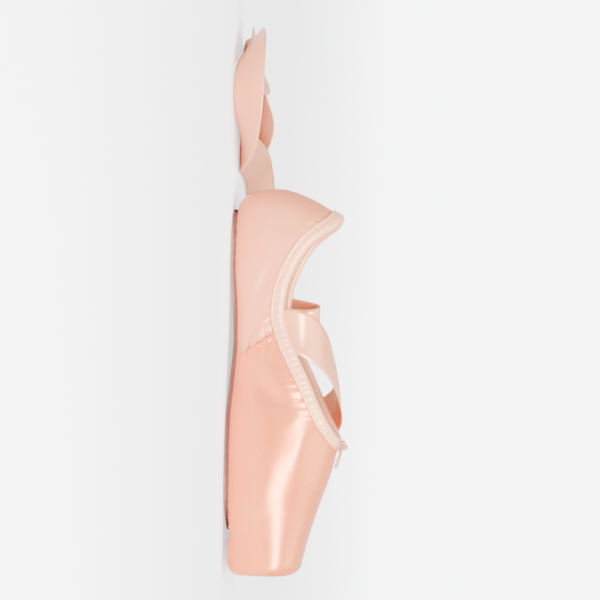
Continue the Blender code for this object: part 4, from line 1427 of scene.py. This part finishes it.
def ramp(tree, value, low, high):
    """A soft mask from 0 at low to 1 at high."""
    node = add(tree, "ShaderNodeMapRange", set_interpolation_type="SMOOTHSTEP", Value=value)
    node.inputs["From Min"].default_value = low
    node.inputs["From Max"].default_value = high
    return node.outputs["Result"]


def mix_colour(tree, share, a, b):
    node = add(tree, "ShaderNodeMix", set_data_type="RGBA")
    for index, value in ((0, share), (6, a), (7, b)):
        if isinstance(value, bpy.types.NodeSocket):
            tree.links.new(value, node.inputs[index])
        else:
            node.inputs[index].default_value = value
    return node.outputs[2]

# %% The weave, the tint and the rubbing
SLUBS_ALONG = 260.0
SLUBS_ACROSS = 2600.0
THREAD_SHARE = 0.35
RUB_PATCHES = 55.0


def weave_group():
    """Threads that float along U. Inputs: UVs in metres and threads to the metre."""
    group, given, out = new_group(
        "satin weave",
        [("UV", "NodeSocketVector", None), ("Threads", "NodeSocketFloat", 3000.0)],
        [("Height", "NodeSocketFloat"), ("Slub", "NodeSocketFloat")],
    )
    split = add(group, "ShaderNodeSeparateXYZ", Vector=given.outputs["UV"])
    turns = math_node(group, "MULTIPLY", split.outputs["Y"], given.outputs["Threads"])
    wave = math_node(group, "SINE", math_node(group, "MULTIPLY", turns, 2 * math.pi))
    floats = add(group, "ShaderNodeCombineXYZ")
    group.links.new(math_node(group, "MULTIPLY", split.outputs["X"], SLUBS_ALONG), floats.inputs[0])
    group.links.new(math_node(group, "MULTIPLY", split.outputs["Y"], SLUBS_ACROSS), floats.inputs[1])
    slub = add(group, "ShaderNodeTexNoise", Vector=floats.outputs[0], Scale=1.0, Detail=3.0, Roughness=0.6)
    height = math_node(group, "ADD", math_node(group, "MULTIPLY", wave, THREAD_SHARE), slub.outputs["Fac"])
    group.links.new(height, out.inputs["Height"])
    group.links.new(slub.outputs["Fac"], out.inputs["Slub"])
    return group


def tint_group():
    """A cloth's colour that wanders slowly. Inputs: two colours, a place and patches to the metre."""
    group, given, out = new_group(
        "cloth tint",
        [("Colour", "NodeSocketColor", None), ("Other", "NodeSocketColor", None),
         ("Place", "NodeSocketVector", None), ("Patches", "NodeSocketFloat", 40.0)],
        [("Colour", "NodeSocketColor"), ("Mask", "NodeSocketFloat")],
    )
    broad = add(
        group, "ShaderNodeTexNoise", Vector=given.outputs["Place"], Scale=given.outputs["Patches"],
        Detail=4.0, Roughness=0.55,
    )
    mask = ramp(group, broad.outputs["Fac"], 0.35, 0.68)
    both = mix_colour(group, mask, given.outputs["Colour"], given.outputs["Other"])
    group.links.new(both, out.inputs["Colour"])
    group.links.new(mask, out.inputs["Mask"])
    return group


def rub_group():
    """Where cloth or leather is rubbed, in patches. Inputs: place, how much and how fine."""
    group, given, out = new_group(
        "rubbed patches",
        [("Place", "NodeSocketVector", None), ("Amount", "NodeSocketFloat", 0.5),
         ("Fineness", "NodeSocketFloat", 300.0)],
        [("Mask", "NodeSocketFloat")],
    )
    place = given.outputs["Place"]
    fine = add(
        group, "ShaderNodeTexNoise", Vector=place, Scale=given.outputs["Fineness"], Detail=6.0, Roughness=0.7
    )
    broad = add(group, "ShaderNodeTexNoise", Vector=place, Scale=RUB_PATCHES, Detail=2.0)
    both = math_node(group, "MULTIPLY", fine.outputs["Fac"], broad.outputs["Fac"])
    mask = math_node(group, "MULTIPLY", ramp(group, both, 0.22, 0.42), given.outputs["Amount"])
    group.links.new(mask, out.inputs["Mask"])
    return group


WEAVE = weave_group()
TINT = tint_group()
RUB = rub_group()
print("groups:", WEAVE.name, TINT.name, RUB.name)


# %% Helpers for materials
def use_group(tree, group, **inputs):
    """Places a shared group in a material, with its own values or links."""
    node = tree.nodes.new("ShaderNodeGroup")
    node.node_tree = group
    for key, value in inputs.items():
        if isinstance(value, bpy.types.NodeSocket):
            tree.links.new(value, node.inputs[key])
        else:
            node.inputs[key].default_value = value
    return node


def plain(name, **values):
    """A material whose constant values are set on the Principled shader's own sockets."""
    material = bpy.data.materials.new(name)
    material.use_nodes = True
    shader = material.node_tree.nodes["Principled BSDF"]
    for key, value in values.items():
        shader.inputs[key.replace("_", " ")].default_value = value
    return material, material.node_tree, shader


def rgb(red, green, blue):
    """A colour given as the eye sees it, 0 to 255, in the linear values that Blender uses."""
    def straight(value):
        value /= 255
        return value / 12.92 if value <= 0.04045 else ((value + 0.055) / 1.055) ** 2.4
    return (straight(red), straight(green), straight(blue), 1.0)

# %% Satin
SATIN_PATCHES = 26.0
SLUB_SHADE = 0.22
SLUB_ROUGH = 0.07
WEAVE_DEPTH = 0.00025


def satin(name, colour, other, shade, lustre, roughness, threads, relief):
    """Satin: two close tints and a fine weave that breaks the gloss.

    Light goes into the floating threads and comes out in their own colour, so a satin's gloss is
    tinted. A share of metal, the lustre, gives that tint, and anisotropy draws the gloss out
    along the threads.
    """
    material, tree, shader = plain(
        name, Metallic=lustre, Sheen_Weight=0.02, Sheen_Roughness=0.35, Coat_Weight=0.02, Coat_Roughness=0.20,
        Specular_IOR_Level=0.20, Anisotropic=0.45,
    )
    uv = add(tree, "ShaderNodeUVMap", set_uv_map="UVMap")
    place = add(tree, "ShaderNodeTexCoord").outputs["Object"]
    tangent = add(tree, "ShaderNodeTangent", set_direction_type="UV_MAP", set_uv_map="UVMap")
    tree.links.new(tangent.outputs[0], shader.inputs["Tangent"])
    weave = use_group(tree, WEAVE, UV=uv.outputs["UV"], Threads=threads)
    tint = use_group(tree, TINT, Colour=colour, Other=other, Place=place, Patches=SATIN_PATCHES)
    slubs = ramp(tree, weave.outputs["Slub"], 0.30, 0.75)
    darker = math_node(tree, "MULTIPLY", slubs, SLUB_SHADE)
    cloth_colour = mix_colour(tree, darker, tint.outputs["Colour"], shade)
    tree.links.new(cloth_colour, shader.inputs["Base Color"])
    rough = math_node(tree, "ADD", math_node(tree, "MULTIPLY", slubs, SLUB_ROUGH), roughness)
    tree.links.new(rough, shader.inputs["Roughness"])
    height = weave.outputs["Height"]
    ridges = add(tree, "ShaderNodeBump", Strength=relief, Distance=WEAVE_DEPTH, Height=height)
    tree.links.new(ridges.outputs[0], shader.inputs["Normal"])
    return material


quarter_satin = satin(
    "quarter_satin", rgb(249, 158, 114), rgb(246, 149, 105), rgb(230, 123, 85),
    lustre=0.30, roughness=0.36, threads=2800, relief=0.10,
)
vamp_satin = satin(
    "vamp_satin", rgb(248, 138, 86), rgb(244, 130, 78), rgb(226, 110, 64),
    lustre=0.42, roughness=0.27, threads=2800, relief=0.05,
)
# Painted shade: the welt's satin is darker to stand in for the shadow along the side seam.
seam_shade_satin = satin(
    "seam_shade_satin", rgb(222, 126, 92), rgb(216, 118, 84), rgb(196, 96, 66),
    lustre=0.20, roughness=0.42, threads=2800, relief=0.10,
)
tape_satin = satin(
    "tape_satin", rgb(255, 184, 138), rgb(253, 174, 128), rgb(228, 134, 92),
    lustre=0.20, roughness=0.34, threads=3400, relief=0.12,
)
ribbon_satin = satin(
    "ribbon_satin_cloth", rgb(253, 172, 126), rgb(251, 164, 118), rgb(236, 134, 92),
    lustre=0.38, roughness=0.26, threads=2600, relief=0.05,
)

# %% Canvas and cotton
CANVAS_ROUGH = 0.82
CANVAS_DEPTH = 0.0003


def canvas(name, colour, other, threads):
    """Plain-woven canvas: two crossing waves of thread and a matt face."""
    material, tree, shader = plain(name, Metallic=0.0, Sheen_Weight=0.15, Specular_IOR_Level=0.3)
    uv = add(tree, "ShaderNodeUVMap", set_uv_map="UVMap")
    split = add(tree, "ShaderNodeSeparateXYZ", Vector=uv.outputs["UV"])
    waves = []
    for axis in ("X", "Y"):
        turn = math_node(tree, "MULTIPLY", split.outputs[axis], threads * 2 * math.pi)
        waves.append(math_node(tree, "SINE", turn))
    over = math_node(tree, "MULTIPLY", *waves)
    place = add(tree, "ShaderNodeTexCoord").outputs["Object"]
    tint = use_group(tree, TINT, Colour=colour, Other=other, Place=place, Patches=60.0)
    worn = use_group(tree, RUB, Place=place, Amount=0.5, Fineness=260.0)
    dark = tuple(0.7 * part for part in colour[:3]) + (1.0,)
    gaps = math_node(tree, "MULTIPLY", ramp(tree, over, -1, 1), 0.25)
    woven = mix_colour(tree, gaps, tint.outputs["Colour"], dark)
    dust = math_node(tree, "MULTIPLY", worn.outputs["Mask"], 0.4)
    tree.links.new(mix_colour(tree, dust, woven, rgb(196, 172, 150)), shader.inputs["Base Color"])
    rough = math_node(tree, "ADD", math_node(tree, "MULTIPLY", worn.outputs["Mask"], 0.08), CANVAS_ROUGH)
    tree.links.new(rough, shader.inputs["Roughness"])
    ridges = add(tree, "ShaderNodeBump", Strength=0.35, Distance=CANVAS_DEPTH, Height=over)
    tree.links.new(ridges.outputs[0], shader.inputs["Normal"])
    return material


lining_canvas = canvas("lining_canvas", rgb(236, 214, 196), rgb(228, 202, 182), 900)
insole_cloth = canvas("insole_cloth", rgb(226, 206, 184), rgb(214, 192, 168), 1100)
cord_cotton = canvas("cord_cotton", rgb(214, 154, 132), rgb(204, 140, 118), 2200)
thread_cotton = canvas("thread_cotton", rgb(250, 222, 206), rgb(246, 212, 196), 2600)

# %% Leather of the sole
SUEDE_ROUGH = 0.86
NAP_DEPTH = 0.0003
NAP_FINENESS = 2600.0


def sole_leather():
    """Suede-like leather: a mottled nap, a darker and smoother edge, and rubbed patches underneath."""
    material, tree, shader = plain("sole_suede", Metallic=0.0, Sheen_Weight=0.2, Specular_IOR_Level=0.35)
    place = add(tree, "ShaderNodeTexCoord").outputs["Object"]
    tan, brown = rgb(186, 144, 122), rgb(168, 126, 104)
    tint = use_group(tree, TINT, Colour=tan, Other=brown, Place=place, Patches=90.0)
    worn = use_group(tree, RUB, Place=place, Amount=0.8, Fineness=700.0)
    looks = add(tree, "ShaderNodeNewGeometry")
    split = add(tree, "ShaderNodeSeparateXYZ", Vector=looks.outputs["Normal"])
    # Faces that turn to the side, on the sole's edge, are darker and smoother.
    edge = ramp(tree, math_node(tree, "ABSOLUTE", split.outputs["Z"]), 0.9, 0.35)
    colour = mix_colour(tree, worn.outputs["Mask"], tint.outputs["Colour"], rgb(186, 150, 122))
    colour = mix_colour(tree, edge, colour, rgb(150, 104, 86))
    tree.links.new(colour, shader.inputs["Base Color"])
    rough = math_node(tree, "SUBTRACT", SUEDE_ROUGH, math_node(tree, "MULTIPLY", edge, 0.3))
    tree.links.new(rough, shader.inputs["Roughness"])
    nap = add(tree, "ShaderNodeTexNoise", Vector=place, Scale=NAP_FINENESS, Detail=5.0, Roughness=0.65)
    pressed = math_node(tree, "MULTIPLY", worn.outputs["Mask"], -0.6)
    height = math_node(tree, "ADD", nap.outputs["Fac"], pressed)
    ridges = add(tree, "ShaderNodeBump", Strength=0.5, Distance=NAP_DEPTH, Height=height)
    tree.links.new(ridges.outputs[0], shader.inputs["Normal"])
    return material


sole_suede = sole_leather()

# %% Put the finishes on the pieces
# Clearing a mesh's materials also resets the number of the material on each face, so those
# numbers are kept and put back: they tell the vamp's satin from the quarters'.
for piece, finishes in (
    (upper, [quarter_satin, vamp_satin, lining_canvas, lining_canvas]),
    (side_seams, [seam_shade_satin]),
    (binding, [tape_satin]),
    (binding_stitches, [thread_cotton]),
    (ribbon_stitches, [thread_cotton]),
    (ribbon_near, [ribbon_satin]),
    (ribbon_far, [ribbon_satin]),
    (bow, [cord_cotton]),
    (knot, [cord_cotton]),
    (outsole, [sole_suede]),
    (insole, [insole_cloth]),
):
    panels = np.zeros(len(piece.data.polygons), np.int32)
    piece.data.polygons.foreach_get("material_index", panels)
    piece.data.materials.clear()
    for finish in finishes:
        piece.data.materials.append(finish)
    piece.data.polygons.foreach_set("material_index", panels)

# %% [markdown]
# The studio
#
# The picture is bright and soft: a pale floor that curves up into the backdrop, and a broad light
# from above. A long thin light in front, tilted a little, draws the one long highlight down the
# vamp, because satin gathers it into a line along the shoe. The paper glows only for the camera,
# more with distance: it looks white there, and still shows the shoe's own soft shadow. From
# behind it is clear, so the shoe can be looked at from every side.

# %% Floor and backdrop
SWEEP_BACK = 1.6
SWEEP_ROUND = 0.8
SWEEP_REACH = 5.0
SWEEP_STEPS = 11
WALL_GLOW = 4.6
FLOOR_GLOW = 1.2
GLOW_START = 0.05


def build_sweep():
    """A pale floor that curves up behind the shoe."""
    profile = [(-SWEEP_REACH, 0.0), (SWEEP_BACK, 0.0)]
    for turn in np.linspace(0, math.pi / 2, SWEEP_STEPS + 1)[1:]:
        profile.append((SWEEP_BACK + SWEEP_ROUND * math.sin(turn), SWEEP_ROUND * (1 - math.cos(turn))))
    profile.append((SWEEP_BACK + SWEEP_ROUND, SWEEP_REACH))
    grid = np.array([[(x, y, z) for y, z in profile] for x in (-SWEEP_REACH, SWEEP_REACH)])
    data = bpy.data.meshes.new("studio_sweep")
    ids = np.arange(grid.shape[0] * grid.shape[1]).reshape(grid.shape[:2])
    faces = np.stack([ids[0, :-1], ids[1, :-1], ids[1, 1:], ids[0, 1:]], axis=-1)
    data.from_pydata(grid.reshape(-1, 3).tolist(), [], faces.tolist())
    data.shade_smooth()
    sweep = bpy.data.objects.new("studio_sweep", data)
    bpy.context.scene.collection.objects.link(sweep)
    material, tree, shader = plain("sweep_paper", Roughness=0.8, Specular_IOR_Level=0.1)
    place = add(tree, "ShaderNodeTexCoord").outputs["Object"]
    white, grey = rgb(236, 237, 243), rgb(234, 235, 242)
    tint = use_group(tree, TINT, Colour=white, Other=grey, Place=place, Patches=1.5)
    tree.links.new(tint.outputs["Colour"], shader.inputs["Base Color"])
    shader.inputs["Emission Color"].default_value = rgb(247, 249, 255)
    distance = add(tree, "ShaderNodeSeparateXYZ", Vector=place).outputs["Y"]
    glow = math_node(tree, "MULTIPLY", ramp(tree, distance, GLOW_START, SWEEP_BACK), WALL_GLOW)
    seen = add(tree, "ShaderNodeLightPath").outputs["Is Camera Ray"]
    glow = math_node(tree, "MULTIPLY", seen, math_node(tree, "ADD", glow, FLOOR_GLOW))
    tree.links.new(glow, shader.inputs["Emission Strength"])
    output = tree.nodes["Material Output"]
    clear = add(tree, "ShaderNodeBsdfTransparent")
    behind = add(tree, "ShaderNodeNewGeometry").outputs["Backfacing"]
    face = add(tree, "ShaderNodeMixShader")
    tree.links.new(behind, face.inputs[0])
    tree.links.new(shader.outputs[0], face.inputs[1])
    tree.links.new(clear.outputs[0], face.inputs[2])
    tree.links.new(face.outputs[0], output.inputs["Surface"])
    data.materials.append(material)
    sweep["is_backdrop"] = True
    return sweep


build_sweep()


# %% Lights
def area_light(name, place, target, size, power, colour, along=(1, 0, 0)):
    """A soft rectangular light that looks at a point. Its long side lies along the shoe."""
    data = bpy.data.lights.new(name, "AREA")
    data.shape = "RECTANGLE"
    data.size, data.size_y = size
    data.energy = power
    data.color = colour
    light = bpy.data.objects.new(name, data)
    back = (Vector(place) - Vector(target)).normalized()
    side = Vector(along)
    side = (side - back * side.dot(back)).normalized()
    turned = Matrix((side, back.cross(side), back)).transposed()
    light.matrix_world = Matrix.Translation(place) @ turned.to_4x4()
    bpy.context.scene.collection.objects.link(light)
    return light


WARM = (1.0, 0.99, 0.97)
NEUTRAL = (1.0, 1.0, 1.0)
DAYLIGHT = (0.93, 0.95, 1.0, 1)
DAYLIGHT_STRENGTH = 0.26

# Each light: its name, its place, the point that it looks at, its size, its power and its colour.
area_light("key_light", (0.35, -1.30, 0.85), (0.03, 0, 0.03), (1.8, 0.13), 122, WARM, along=(1.0, 0.0, -0.45))
area_light("top_light", (-0.2, 0.1, 1.8), (0, 0, 0), (2.4, 1.6), 46, WARM)
area_light("toe_side_light", (2.0, -1.3, 0.7), (0, 0, 0.03), (1.2, 1.2), 12, NEUTRAL)
area_light("heel_side_light", (-2.0, -1.3, 0.7), (0, 0, 0.03), (1.2, 1.2), 14, NEUTRAL)
world = bpy.data.worlds.new("studio")
world.use_nodes = True
background = world.node_tree.nodes["Background"]
background.inputs["Color"].default_value = DAYLIGHT
background.inputs["Strength"].default_value = DAYLIGHT_STRENGTH
bpy.context.scene.world = world

# %% [markdown]
# The size
#
# The dressed shoe is meant to keep to the CAD model's box, apart from what cloth may stand proud.
# The box of each shown piece is printed in millimetres.

# %% Print the box of each shown piece
bpy.context.view_layer.update()
depsgraph = bpy.context.evaluated_depsgraph_get()
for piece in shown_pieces():
    shown = piece.evaluated_get(depsgraph)
    mesh = shown.to_mesh()
    corners = np.array([shown.matrix_world @ vertex.co for vertex in mesh.vertices])
    print(piece.name, len(mesh.polygons), "faces, box in mm", (corners.min(axis=0) * 1000).round(1),
          (corners.max(axis=0) * 1000).round(1))
    shown.to_mesh_clear()
